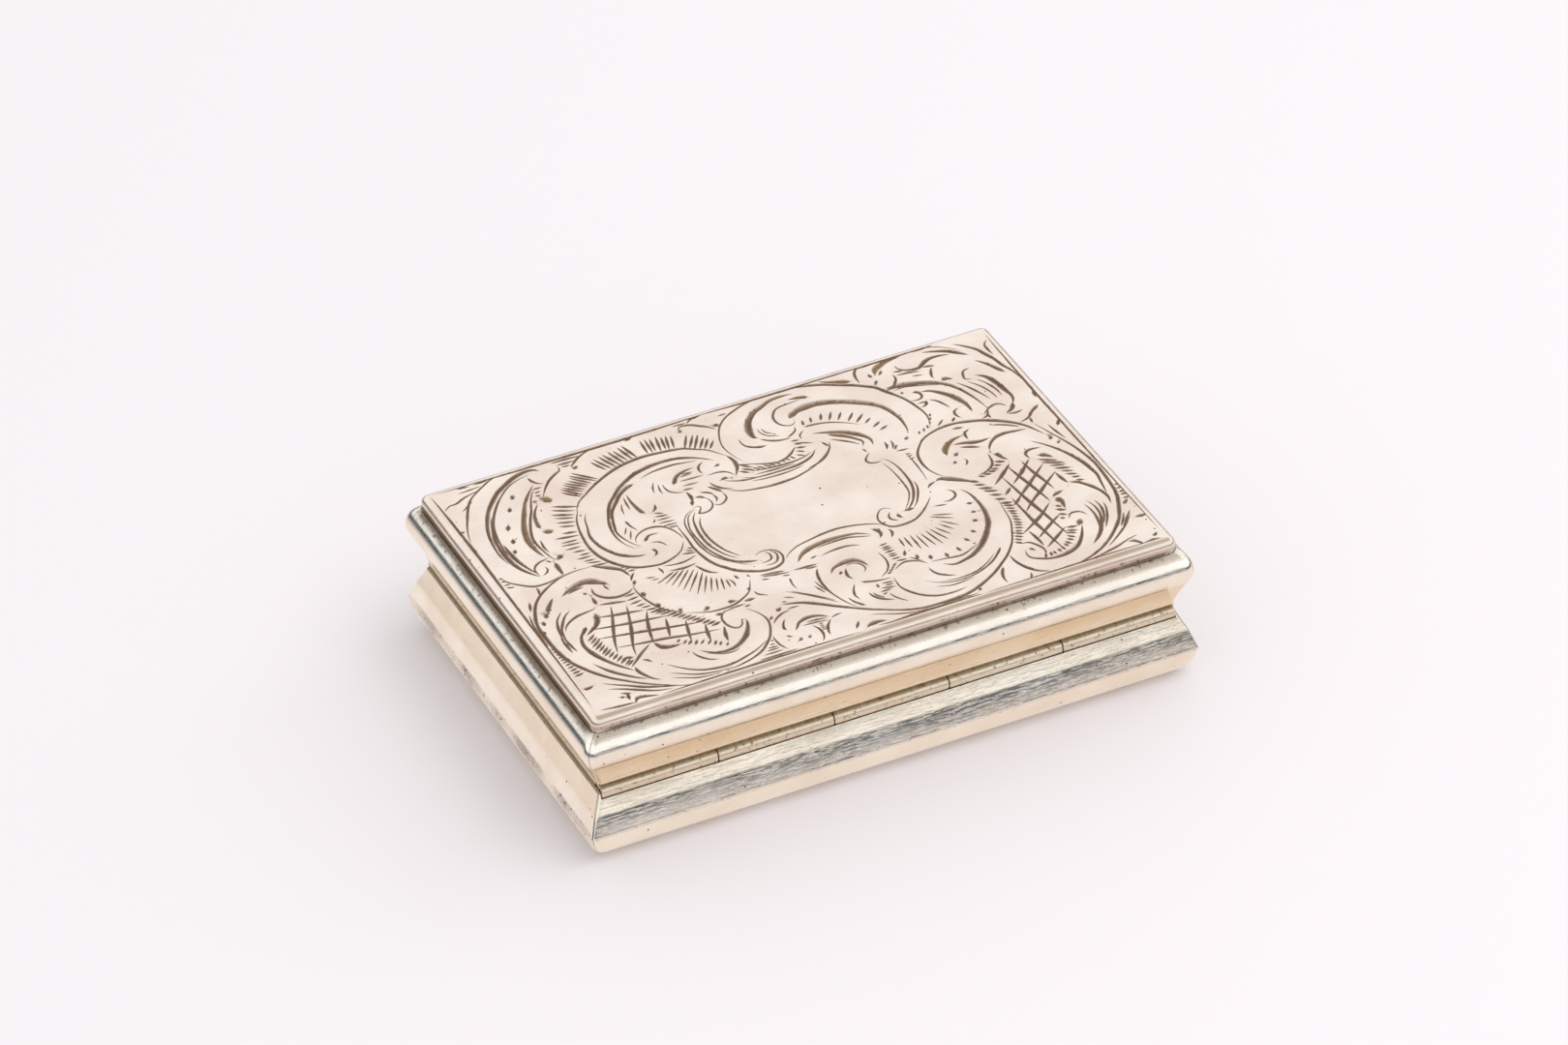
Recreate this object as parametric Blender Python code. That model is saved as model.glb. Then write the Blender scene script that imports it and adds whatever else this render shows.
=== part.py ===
"""A silver vinaigrette: a shallow hinged box whose pierced inner grille covers a scented sponge.

The frame has its origin at the middle of the underside, +X along the box, +Z up, and the hinge at +Y.
A section point is (inset, height): how far it lies inside the outermost ridge, and its height.
"""

import math

import bmesh
import bpy
from mathutils import Matrix, Vector

MM = 0.001

# Box outside
BOX_LENGTH = 38.0 * MM
BOX_WIDTH = 26.2 * MM
BOX_HEIGHT = 9.4 * MM

# Fits
SOLDER_GAP = 0.03 * MM
RUNNING_GAP = 0.05 * MM
SLIDING_GAP = 0.08 * MM
CUT_OVERRUN = 1.0 * MM

# Sheet and base moulding
SHEET_GAUGE = 0.55 * MM
FLOOR_THICKNESS = 0.5 * MM
FLOOR_LAP = 0.1 * MM
FOOT_INSET = 1.15 * MM
UNDER_BULGE = 0.3 * MM
RIDGE_HEIGHT = 1.95 * MM
SHOULDER_INSET = 0.41 * MM
SHOULDER_HEIGHT = 3.1 * MM
SHOULDER_BULGE = 0.02 * MM
BASE_COVE_HOLLOW = 0.01 * MM
WAIST_INSET = 1.0 * MM
BASE_RIM_HEIGHT = 4.34 * MM

# Lid moulding, whose top is set by the plate
SEAM_GAP = 0.18 * MM
LID_WAIST = 0.35 * MM
COVE_END_INSET = 0.38 * MM
COVE_END_HEIGHT = 6.45 * MM
LID_COVE_HOLLOW = 0.12 * MM
OVOLO_BULGE = 0.095 * MM
TORUS_RADIUS = 1.36 * MM
TORUS_HEIGHT = 7.26 * MM
TORUS_TURN = math.radians(66)
GROOVE_WIDTH = 0.05 * MM
LEDGE_WIDTH = 1.0 * MM
LEDGE_THICKNESS = 0.5 * MM

# Lid plate
PLATE_THICKNESS = 0.68 * MM
PLATE_OVERHANG = 0.02 * MM
PLATE_EDGE_RADIUS = 0.46 * MM
PLATE_CORNER = 0.7 * MM

# Lid hinge
HINGE_INSET = 1.2 * MM
HINGE_DROP = 0.12 * MM
KNUCKLE_RADIUS = 0.42 * MM
PIN_RADIUS = 0.18 * MM
PIN_CLEARANCE = 0.02 * MM
KNUCKLE_COUNT = 5
KNUCKLE_GAP = 0.06 * MM
TUBE_END_INSET = 1.1 * MM
PIN_RECESS = 0.1 * MM
BEARER_WIDTH = 0.7 * MM
BASE_BEARER_DEPTH = 1.0 * MM
LID_BEARER_DEPTH = 0.9 * MM

# Inner rim that the lid closes over
RIM_THICKNESS = 0.4 * MM
RIM_DEPTH = 1.44 * MM
RIM_STAND = 0.6 * MM

# Grille and its hinge
GRILLE_THICKNESS = 0.35 * MM
GRILLE_DROP = 0.44 * MM
GRILLE_CORNER = 1.2 * MM
GRILLE_EDGE_RADIUS = 0.1 * MM
GRILLE_KNUCKLE_RADIUS = 0.3 * MM
GRILLE_PIN_RADIUS = 0.13 * MM
GRILLE_KNUCKLE_LENGTH = 12.0 * MM
GRILLE_LUG_LENGTH = 3.0 * MM

# Grille piercing
CENTRE_ROSETTE_RADIUS = 6.0 * MM
ROSETTE_GAP = 0.8 * MM
ROSETTE_MARGIN = 1.6 * MM
EYE_SHARE = 0.12
PETAL_RING_SHARE = 0.49
PETAL_LENGTH_SHARE = 0.25
PETAL_WIDTH_SHARE = 0.09
DOT_RING_SHARE = 0.93
DOT_SHARE = 0.062
CENTRE_PETALS = 12
SIDE_PETALS = 8
BORDER_MARGIN = 1.25 * MM
BORDER_HOLE_RADIUS = 0.34 * MM
BORDER_COUNT = 15
LEAF_HALF_LENGTH = 1.2 * MM
LEAF_HALF_WIDTH = 0.42 * MM
LEAF_GAP = 1.55 * MM
LEAF_TILT = math.radians(35)

# Tab that lifts the grille
TAB_HALF_WIDTH = 1.1 * MM
TAB_DEPTH = 0.9 * MM
TAB_THICKNESS = 0.3 * MM
TAB_MARGIN = 0.1 * MM

# Sponge
SPONGE_CLEARANCE = 0.25 * MM
SPONGE_CORNER = 1.5 * MM
SPONGE_ROUNDING = 0.6 * MM

# Thumbpiece
THUMB_HALF_WIDTH = 3.4 * MM
THUMB_REACH = 0.85 * MM
THUMB_THICKNESS = 0.45 * MM
THUMB_LIFT = 0.06 * MM
THUMB_EDGE = 0.06 * MM
THUMB_LOBES = 3
THUMB_SCALLOP_SHARE = 0.07

# Faceting
ARC_STEPS = 5
TORUS_STEPS = 10
CORNER_STEPS = 6
EDGE_STEPS = 4
TUBE_SIDES = 24
HOLE_SIDES = 10
LOBE_STEPS = 8
SMOOTH_ANGLE = math.radians(35)

# Places worked out from the sizes above
HALF_LENGTH = BOX_LENGTH / 2
HALF_WIDTH = BOX_WIDTH / 2
PLATE_UNDERSIDE = BOX_HEIGHT - PLATE_THICKNESS
LEDGE_HEIGHT = PLATE_UNDERSIDE - SOLDER_GAP
TORUS_CREST_INSET = TORUS_RADIUS * (1 - math.cos(TORUS_TURN))
LEDGE_INSET = TORUS_CREST_INSET + GROOVE_WIDTH
PLATE_INSET = LEDGE_INSET - PLATE_OVERHANG
LID_FOOT_HEIGHT = BASE_RIM_HEIGHT + SEAM_GAP
WALL_INSET = WAIST_INSET + SHEET_GAUGE
LINER_INSET = WALL_INSET + RUNNING_GAP
BEARER_INNER_INSET = LINER_INSET + BEARER_WIDTH
RIM_INNER_INSET = LINER_INSET + RIM_THICKNESS
RIM_FOOT_HEIGHT = BASE_RIM_HEIGHT - RIM_DEPTH
BACK_RIM_Y = HALF_WIDTH - BEARER_INNER_INSET - SOLDER_GAP - RIM_THICKNESS
HINGE_Y = HALF_WIDTH - HINGE_INSET
HINGE_HEIGHT = BASE_RIM_HEIGHT - HINGE_DROP
CHANNEL_RADIUS = KNUCKLE_RADIUS + RUNNING_GAP
KNUCKLE_BORE = PIN_RADIUS + PIN_CLEARANCE
TUBE_HALF_LENGTH = HALF_LENGTH - TUBE_END_INSET
GRILLE_TOP = BASE_RIM_HEIGHT - GRILLE_DROP
GRILLE_UNDERSIDE = GRILLE_TOP - GRILLE_THICKNESS
GRILLE_BORE = GRILLE_PIN_RADIUS + PIN_CLEARANCE
GRILLE_HINGE_Y = BACK_RIM_Y - SOLDER_GAP - GRILLE_KNUCKLE_RADIUS
GRILLE_HINGE_HEIGHT = GRILLE_UNDERSIDE + GRILLE_THICKNESS / 2
GRILLE_HALF_LENGTH = HALF_LENGTH - RIM_INNER_INSET - SLIDING_GAP
GRILLE_FRONT_Y = SLIDING_GAP + RIM_INNER_INSET - HALF_WIDTH
GRILLE_BACK_Y = GRILLE_HINGE_Y - GRILLE_KNUCKLE_RADIUS - SOLDER_GAP
GRILLE_MIDDLE_Y = (GRILLE_FRONT_Y + GRILLE_BACK_Y) / 2
GRILLE_HALF_WIDTH = (GRILLE_BACK_Y - GRILLE_FRONT_Y) / 2
SIDE_ROSETTE_START = CENTRE_ROSETTE_RADIUS + ROSETTE_GAP
SIDE_ROSETTE_RADIUS = (GRILLE_HALF_LENGTH - ROSETTE_MARGIN - SIDE_ROSETTE_START) / 2

SIDE_TURNS = {"back": 0.0, "right": -math.pi / 2, "front": math.pi, "left": math.pi / 2}
CORNER_SIGNS = ((1, 1), (-1, 1), (-1, -1), (1, -1))


def clear_scene():
    """Removes whatever the file holds."""
    for obj in list(bpy.data.objects):
        bpy.data.objects.remove(obj)


def finish(name, colour, roughness, metallic=1.0):
    """A material with one colour and one roughness, bare metal unless metallic says otherwise."""
    made = bpy.data.materials.new(name)
    made.use_nodes = True
    shader = made.node_tree.nodes["Principled BSDF"]
    shader.inputs["Base Color"].default_value = (*colour, 1.0)
    shader.inputs["Metallic"].default_value = metallic
    shader.inputs["Roughness"].default_value = roughness
    return made


def add_axis(name, place):
    """An empty that stands on a joint's axis and carries what turns about it."""
    axis = bpy.data.objects.new(name, None)
    axis.location = place
    bpy.context.scene.collection.objects.link(axis)
    return axis


def add_object(name, build, material=None, axis=None):
    """Makes a named object from a filled bmesh, shades it and hangs it on its joint's axis."""
    bmesh.ops.recalc_face_normals(build, faces=build.faces)
    mesh = bpy.data.meshes.new(name)
    build.to_mesh(mesh)
    build.free()
    mesh.shade_smooth()
    mesh.set_sharp_from_angle(angle=SMOOTH_ANGLE)
    if material:
        mesh.materials.append(material)
    made = bpy.data.objects.new(name, mesh)
    bpy.context.scene.collection.objects.link(made)
    if axis:
        made.parent = axis
        made.matrix_parent_inverse = Matrix.Translation(axis.location).inverted()
    return made


def cut(target, cutter):
    """Takes the cutter's shape out of the target."""
    modifier = target.modifiers.new(cutter.name, "BOOLEAN")
    modifier.operation = "DIFFERENCE"
    modifier.object = cutter


def add_cutter(name, build):
    """A hidden object that only cuts others."""
    cutter = add_object(name, build)
    cutter.hide_render = True
    cutter.display_type = "WIRE"
    return cutter


def extruded(face, build):
    """Extrudes one face in place and gives back the face at its far end."""
    drawn = bmesh.ops.extrude_face_region(build, geom=[face])
    return next(item for item in drawn["geom"] if isinstance(item, bmesh.types.BMFace))


def arc(start, end, bulge):
    """Points of the arc between two section points, standing out by bulge, or in if it is negative."""
    start, end = Vector(start), Vector(end)
    along = (end - start).normalized()
    outward = Vector((-along.y, along.x))
    half = (end - start).length / 2
    radius = (half**2 + bulge**2) / (2 * bulge)
    centre = (start + end) / 2 + outward * (bulge - radius)
    reach = math.asin(half / radius)
    points = []
    for step in range(ARC_STEPS + 1):
        angle = reach * (2 * step / ARC_STEPS - 1)
        points.append(tuple(centre + along * radius * math.sin(angle) + outward * radius * math.cos(angle)))
    return points


def thickened(points):
    """The same points one sheet further in, in the reverse order."""
    return [(inset + SHEET_GAUGE, height) for inset, height in reversed(points)]


def base_section():
    """The base moulding: an under-curve, a ridge and a cove that narrows to the seam."""
    ridge = (0, RIDGE_HEIGHT)
    shoulder = (SHOULDER_INSET, SHOULDER_HEIGHT)
    top = (WAIST_INSET, BASE_RIM_HEIGHT)
    flank = arc(ridge, shoulder, SHOULDER_BULGE) + arc(shoulder, top, -BASE_COVE_HOLLOW)[1:]
    under_curve = arc((FOOT_INSET, 0), ridge, UNDER_BULGE)
    inner_foot = (FOOT_INSET, FLOOR_THICKNESS + FLOOR_LAP)
    return under_curve + flank[1:] + thickened(flank) + [inner_foot]


def torus_points():
    """The bold half-round of the lid, from its widest line up to the groove beside the plate."""
    points = []
    for step in range(1, TORUS_STEPS + 1):
        angle = TORUS_TURN * step / TORUS_STEPS
        inset = TORUS_RADIUS * (1 - math.cos(angle))
        points.append((inset, TORUS_HEIGHT + TORUS_RADIUS * math.sin(angle)))
    return points


def lid_section():
    """The lid moulding: a cove from the seam, a half-round, a groove and a ledge under the plate."""
    foot = (WAIST_INSET, LID_FOOT_HEIGHT)
    cove_start = (WAIST_INSET, LID_FOOT_HEIGHT + LID_WAIST)
    cove_end = (COVE_END_INSET, COVE_END_HEIGHT)
    widest = (0, TORUS_HEIGHT)
    flank = arc(cove_start, cove_end, -LID_COVE_HOLLOW) + arc(cove_end, widest, OVOLO_BULGE)[1:]
    torus = torus_points()
    crest_height = torus[-1][1]
    ledge_end = LEDGE_INSET + LEDGE_WIDTH
    ledge_underside = LEDGE_HEIGHT - LEDGE_THICKNESS
    ledge = [(LEDGE_INSET, crest_height), (LEDGE_INSET, LEDGE_HEIGHT), (ledge_end, LEDGE_HEIGHT)]
    ledge += [(ledge_end, ledge_underside), (SHEET_GAUGE, ledge_underside)]
    return [foot] + flank + torus + ledge + thickened(flank) + thickened([foot])


def mitred_strip(name, section, side, material, axis=None):
    """One side of a frame: the section drawn along the side, with both ends cut at 45 degrees."""
    half_run, half_depth = HALF_LENGTH, HALF_WIDTH
    if side in ("left", "right"):
        half_run, half_depth = HALF_WIDTH, HALF_LENGTH
    build = bmesh.new()
    end = [
        build.verts.new((half_run - inset - SOLDER_GAP, half_depth - inset, height))
        for inset, height in section
    ]
    far_end = extruded(build.faces.new(end), build)
    for vertex in far_end.verts:
        vertex.co.x = -vertex.co.x
    turn = Matrix.Rotation(SIDE_TURNS[side], 4, "Z")
    bmesh.ops.transform(build, matrix=turn, verts=build.verts)
    return add_object(name, build, material, axis)


def rounded_outline(half_x, half_y, corner, middle_y, height):
    """Points round a rectangle with rounded corners."""
    points = []
    for quarter, (sign_x, sign_y) in enumerate(CORNER_SIGNS):
        for step in range(CORNER_STEPS + 1):
            angle = math.pi / 2 * (quarter + step / CORNER_STEPS)
            x = sign_x * (half_x - corner) + corner * math.cos(angle)
            y = sign_y * (half_y - corner) + corner * math.sin(angle)
            points.append((x, middle_y + y, height))
    return points


def stacked_slab(name, half_x, half_y, corner, levels, material, axis=None, middle_y=0):
    """A slab with rounded corners through (inset, height) levels, from its underside to its top."""
    build = bmesh.new()
    rings = []
    for inset, height in levels:
        outline = rounded_outline(half_x - inset, half_y - inset, corner - inset, middle_y, height)
        rings.append([build.verts.new(point) for point in outline])
    for lower, upper in zip(rings, rings[1:]):
        for index in range(len(lower)):
            build.faces.new((lower[index - 1], lower[index], upper[index], upper[index - 1]))
    build.faces.new(rings[0])
    build.faces.new(rings[-1])
    return add_object(name, build, material, axis)


def rounding(radius, edge_height, direction):
    """(inset, height) levels of a quarter-round edge that ends or starts at edge_height."""
    levels = []
    for step in range(EDGE_STEPS + 1):
        angle = math.pi / 2 * step / EDGE_STEPS
        drop = radius * (1 - math.sin(angle))
        levels.append((radius * (1 - math.cos(angle)), edge_height - direction * drop))
    return levels if direction > 0 else levels[::-1]


def turned_tube(name, start_x, end_x, outer, bore, centre, material, axis=None):
    """A tube along X, made by turning its wall's section about its centre line."""
    corners = [(start_x, bore), (end_x, bore), (end_x, outer), (start_x, outer)]
    build = bmesh.new()
    wall = [build.verts.new((x, radius, 0)) for x, radius in corners]
    edges = [build.edges.new(pair) for pair in zip(wall, wall[1:] + wall[:1])]
    bmesh.ops.spin(
        build,
        geom=wall + edges,
        cent=(0, 0, 0),
        axis=(1, 0, 0),
        angle=math.tau,
        steps=TUBE_SIDES,
        use_merge=True,
    )
    bmesh.ops.translate(build, verts=build.verts, vec=centre)
    return add_object(name, build, material, axis)


def rod_build(half_length, radius, centre):
    """A round rod along X, as a bmesh."""
    build = bmesh.new()
    place = Matrix.Translation(centre) @ Matrix.Rotation(math.pi / 2, 4, "Y")
    bmesh.ops.create_cone(
        build,
        cap_ends=True,
        segments=TUBE_SIDES,
        radius1=radius,
        radius2=radius,
        depth=2 * half_length,
        matrix=place,
    )
    return build


def bar(name, low, high, material, axis=None):
    """A straight bar between two opposite corners."""
    low, high = Vector(low), Vector(high)
    build = bmesh.new()
    place = Matrix.Translation((low + high) / 2) @ Matrix.Diagonal((*(high - low), 1))
    bmesh.ops.create_cube(build, size=1, matrix=place)
    return add_object(name, build, material, axis)


def make_base(silver, channel):
    """The flat floor and the four mitred mouldings of the base."""
    half_x = HALF_LENGTH - FOOT_INSET - SOLDER_GAP
    half_y = HALF_WIDTH - FOOT_INSET - SOLDER_GAP
    bar("base_floor", (-half_x, -half_y, 0), (half_x, half_y, FLOOR_THICKNESS), silver)
    for side in SIDE_TURNS:
        strip = mitred_strip(f"base_side_{side}", base_section(), side, silver)
        if side != "front":
            cut(strip, channel)


def make_base_bearer(silver, channel):
    """The thick strip inside the back wall of the base that the fixed knuckles are soldered to."""
    half_x = HALF_LENGTH - LINER_INSET
    low = (-half_x, HALF_WIDTH - BEARER_INNER_INSET, BASE_RIM_HEIGHT - BASE_BEARER_DEPTH)
    high = (half_x, HALF_WIDTH - LINER_INSET, BASE_RIM_HEIGHT)
    cut(bar("base_hinge_bearer", low, high, silver), channel)


def make_rim(gilt):
    """The gilt strips inside the base: three stand up into the lid, and the back one is low."""
    half_x = HALF_LENGTH - LINER_INSET
    inner_x = HALF_LENGTH - RIM_INNER_INSET
    front_y = LINER_INSET - HALF_WIDTH
    inner_front_y = front_y + RIM_THICKNESS
    top = BASE_RIM_HEIGHT + RIM_STAND
    bar("rim_front", (-half_x, front_y, RIM_FOOT_HEIGHT), (half_x, inner_front_y, top), gilt)
    back_top = (half_x, BACK_RIM_Y + RIM_THICKNESS, BASE_RIM_HEIGHT)
    bar("rim_back", (-half_x, BACK_RIM_Y, RIM_FOOT_HEIGHT), back_top, gilt)
    start_y = inner_front_y + SOLDER_GAP
    end_y = BACK_RIM_Y - SOLDER_GAP
    bar("rim_right", (inner_x, start_y, RIM_FOOT_HEIGHT), (half_x, end_y, top), gilt)
    bar("rim_left", (-half_x, start_y, RIM_FOOT_HEIGHT), (-inner_x, end_y, top), gilt)


def make_lid(silver, channel, axis):
    """The lid: four mitred mouldings under a flat plate with a rounded edge."""
    for side in SIDE_TURNS:
        strip = mitred_strip(f"lid_side_{side}", lid_section(), side, silver, axis)
        if side != "front":
            cut(strip, channel)
    levels = [(0, PLATE_UNDERSIDE)] + rounding(PLATE_EDGE_RADIUS, BOX_HEIGHT, 1)
    half_x = HALF_LENGTH - PLATE_INSET
    half_y = HALF_WIDTH - PLATE_INSET
    stacked_slab("lid_plate", half_x, half_y, PLATE_CORNER, levels, silver, axis)


def make_lid_bearer(silver, channel, axis):
    """The strip inside the back wall of the lid that its knuckles are soldered to."""
    half_x = HALF_LENGTH - LINER_INSET
    low = (-half_x, HALF_WIDTH - BEARER_INNER_INSET, LID_FOOT_HEIGHT)
    high = (half_x, HALF_WIDTH - LINER_INSET, LID_FOOT_HEIGHT + LID_BEARER_DEPTH)
    cut(bar("lid_hinge_bearer", low, high, silver, axis), channel)


def make_thumbpiece(silver, axis):
    """A small lobed lip on the front of the lid, for opening it."""
    wall_y = WAIST_INSET - HALF_WIDTH - SOLDER_GAP
    low = LID_FOOT_HEIGHT + THUMB_LIFT
    steps = THUMB_LOBES * LOBE_STEPS
    build = bmesh.new()
    outline = []
    for step in range(steps + 1):
        angle = math.pi * step / steps
        lobe = 1 - THUMB_SCALLOP_SHARE * (1 + math.cos(2 * THUMB_LOBES * angle))
        x = THUMB_HALF_WIDTH * lobe * math.cos(angle)
        y = wall_y - THUMB_REACH * lobe * math.sin(angle)
        outline.append(build.verts.new((x, y, low)))
    top = extruded(build.faces.new(outline), build)
    bmesh.ops.translate(build, verts=top.verts, vec=(0, 0, THUMB_THICKNESS))
    thumbpiece = add_object("thumbpiece", build, silver, axis)
    edge = thumbpiece.modifiers.new("softened edges", "BEVEL")
    edge.width = THUMB_EDGE
    edge.segments = 1
    edge.limit_method = "ANGLE"
    edge.angle_limit = SMOOTH_ANGLE


def make_lid_hinge(silver, steel, axis):
    """Five knuckles in a row on one pin: the odd ones belong to the base, the even ones to the lid."""
    centre = (0, HINGE_Y, HINGE_HEIGHT)
    spare = KNUCKLE_GAP * (KNUCKLE_COUNT - 1)
    length = (2 * TUBE_HALF_LENGTH - spare) / KNUCKLE_COUNT
    for index in range(KNUCKLE_COUNT):
        start = index * (length + KNUCKLE_GAP) - TUBE_HALF_LENGTH
        on_lid = index % 2 == 1
        name = f"{'lid' if on_lid else 'base'}_knuckle_{index + 1}"
        holder = axis if on_lid else None
        turned_tube(name, start, start + length, KNUCKLE_RADIUS, KNUCKLE_BORE, centre, silver, holder)
    add_object("hinge_pin", rod_build(TUBE_HALF_LENGTH - PIN_RECESS, PIN_RADIUS, centre), steel)


def make_grille_hinge(gilt, steel, axis):
    """The grille's own knuckle between two lugs on the back rim, with their pin."""
    centre = (0, GRILLE_HINGE_Y, GRILLE_HINGE_HEIGHT)
    half = GRILLE_KNUCKLE_LENGTH / 2
    radius, bore = GRILLE_KNUCKLE_RADIUS, GRILLE_BORE
    turned_tube("grille_knuckle", -half, half, radius, bore, centre, gilt, axis)
    start = half + KNUCKLE_GAP
    end = start + GRILLE_LUG_LENGTH
    turned_tube("grille_lug_right", start, end, radius, bore, centre, gilt)
    turned_tube("grille_lug_left", -end, -start, radius, bore, centre, gilt)
    add_object("grille_pin", rod_build(end, GRILLE_PIN_RADIUS, centre), steel)


def pierce(build, x, y, radius, stretch=1, turn=0):
    """Adds one upright cutter of an oval hole, whose long axis lies at the given turn."""
    lengthwise = Matrix.Diagonal((stretch, 1, 1, 1))
    place = Matrix.Translation((x, y, GRILLE_HINGE_HEIGHT)) @ Matrix.Rotation(turn, 4, "Z") @ lengthwise
    bmesh.ops.create_cone(
        build,
        cap_ends=True,
        segments=HOLE_SIDES,
        radius1=radius,
        radius2=radius,
        depth=GRILLE_THICKNESS + CUT_OVERRUN,
        matrix=place,
    )


def pierce_rosette(build, centre_x, radius, petals):
    """An eye, a ring of petals and a ring of dots round one point of the grille's middle line."""
    pierce(build, centre_x, GRILLE_MIDDLE_Y, radius * EYE_SHARE)
    for index in range(petals):
        angle = math.tau * index / petals
        x = centre_x + radius * PETAL_RING_SHARE * math.cos(angle)
        y = GRILLE_MIDDLE_Y + radius * PETAL_RING_SHARE * math.sin(angle)
        stretch = PETAL_LENGTH_SHARE / PETAL_WIDTH_SHARE
        pierce(build, x, y, radius * PETAL_WIDTH_SHARE, stretch, angle)
    dots = petals + petals // 2
    for index in range(dots):
        angle = math.tau * (index + 1 / 2) / dots
        x = centre_x + radius * DOT_RING_SHARE * math.cos(angle)
        y = GRILLE_MIDDLE_Y + radius * DOT_RING_SHARE * math.sin(angle)
        pierce(build, x, y, radius * DOT_SHARE)


def grille_piercing():
    """Every hole of the grille in one cutter: three rosettes, two border rows and eight leaves."""
    side_x = SIDE_ROSETTE_START + SIDE_ROSETTE_RADIUS
    border_x = GRILLE_HALF_LENGTH - BORDER_MARGIN
    border_y = GRILLE_HALF_WIDTH - BORDER_MARGIN
    build = bmesh.new()
    pierce_rosette(build, 0, CENTRE_ROSETTE_RADIUS, CENTRE_PETALS)
    for sign in (-1, 1):
        pierce_rosette(build, sign * side_x, SIDE_ROSETTE_RADIUS, SIDE_PETALS)
        for index in range(BORDER_COUNT):
            x = border_x * (2 * index / (BORDER_COUNT - 1) - 1)
            pierce(build, x, GRILLE_MIDDLE_Y + sign * border_y, BORDER_HOLE_RADIUS)
    stretch = LEAF_HALF_LENGTH / LEAF_HALF_WIDTH
    leaf_y = border_y - LEAF_GAP
    leaf_x = (border_x - LEAF_HALF_LENGTH, SIDE_ROSETTE_START)
    for sign_x, sign_y in CORNER_SIGNS:
        for place_x, lean in zip(leaf_x, (-1, 1)):
            turn = lean * sign_x * sign_y * LEAF_TILT
            pierce(build, sign_x * place_x, GRILLE_MIDDLE_Y + sign_y * leaf_y, LEAF_HALF_WIDTH, stretch, turn)
    return add_cutter("grille_piercing", build)


def make_grille(gilt, axis):
    """The pierced plate over the sponge, and the tab that lifts it."""
    radius = GRILLE_EDGE_RADIUS
    levels = rounding(radius, GRILLE_UNDERSIDE, -1) + rounding(radius, GRILLE_TOP, 1)
    plate = stacked_slab(
        "grille",
        GRILLE_HALF_LENGTH,
        GRILLE_HALF_WIDTH,
        GRILLE_CORNER,
        levels,
        gilt,
        axis,
        GRILLE_MIDDLE_Y,
    )
    cut(plate, grille_piercing())
    low = GRILLE_TOP + SOLDER_GAP
    middle_y = GRILLE_FRONT_Y + TAB_MARGIN + TAB_DEPTH / 2
    tab = [(0, low)] + rounding(radius, low + TAB_THICKNESS, 1)
    stacked_slab("grille_tab", TAB_HALF_WIDTH, TAB_DEPTH / 2, TAB_DEPTH / 2, tab, gilt, axis, middle_y)


def make_sponge(wool):
    """The block of sponge that fills the base under the grille."""
    half_x = HALF_LENGTH - RIM_INNER_INSET - SPONGE_CLEARANCE
    half_y = BACK_RIM_Y - SPONGE_CLEARANCE
    low = FLOOR_THICKNESS + SOLDER_GAP
    high = GRILLE_HINGE_HEIGHT - GRILLE_KNUCKLE_RADIUS - SPONGE_CLEARANCE
    levels = rounding(SPONGE_ROUNDING, low, -1) + rounding(SPONGE_ROUNDING, high, 1)
    stacked_slab("sponge", half_x, half_y, SPONGE_CORNER, levels, wool)


def main():
    """Builds the whole box, shut."""
    clear_scene()
    silver = finish("polished silver", colour=(0.86, 0.8, 0.74), roughness=0.22)
    gilt = finish("silver gilt", colour=(0.82, 0.6, 0.28), roughness=0.25)
    steel = finish("steel wire", colour=(0.5, 0.48, 0.46), roughness=0.4)
    wool = finish("natural sponge", colour=(0.62, 0.45, 0.2), roughness=0.95, metallic=0.0)
    lid_axis = add_axis("lid_hinge_axis", (0, HINGE_Y, HINGE_HEIGHT))
    grille_axis = add_axis("grille_hinge_axis", (0, GRILLE_HINGE_Y, GRILLE_HINGE_HEIGHT))
    channel_half = HALF_LENGTH + CUT_OVERRUN
    channel = add_cutter("hinge_channel", rod_build(channel_half, CHANNEL_RADIUS, lid_axis.location))
    make_base(silver, channel)
    make_base_bearer(silver, channel)
    make_rim(gilt)
    make_lid(silver, channel, lid_axis)
    make_lid_bearer(silver, channel, lid_axis)
    make_thumbpiece(silver, lid_axis)
    make_lid_hinge(silver, steel, lid_axis)
    make_grille(gilt, grille_axis)
    make_grille_hinge(gilt, steel, grille_axis)
    make_sponge(wool)


main()
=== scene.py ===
"""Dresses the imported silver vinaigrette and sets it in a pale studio.

Every size here is in millimetres until a mesh is finished, when it is scaled to metres. A section
point is (inset, height): how far it lies inside the outermost ridge, and its height.
"""

from __future__ import annotations

import logging
import math
from dataclasses import dataclass, field
from enum import Enum
from typing import Any, Callable, Sequence

import bmesh
import bpy
from mathutils import Matrix, Vector, noise
from mathutils.geometry import delaunay_2d_cdt

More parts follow.
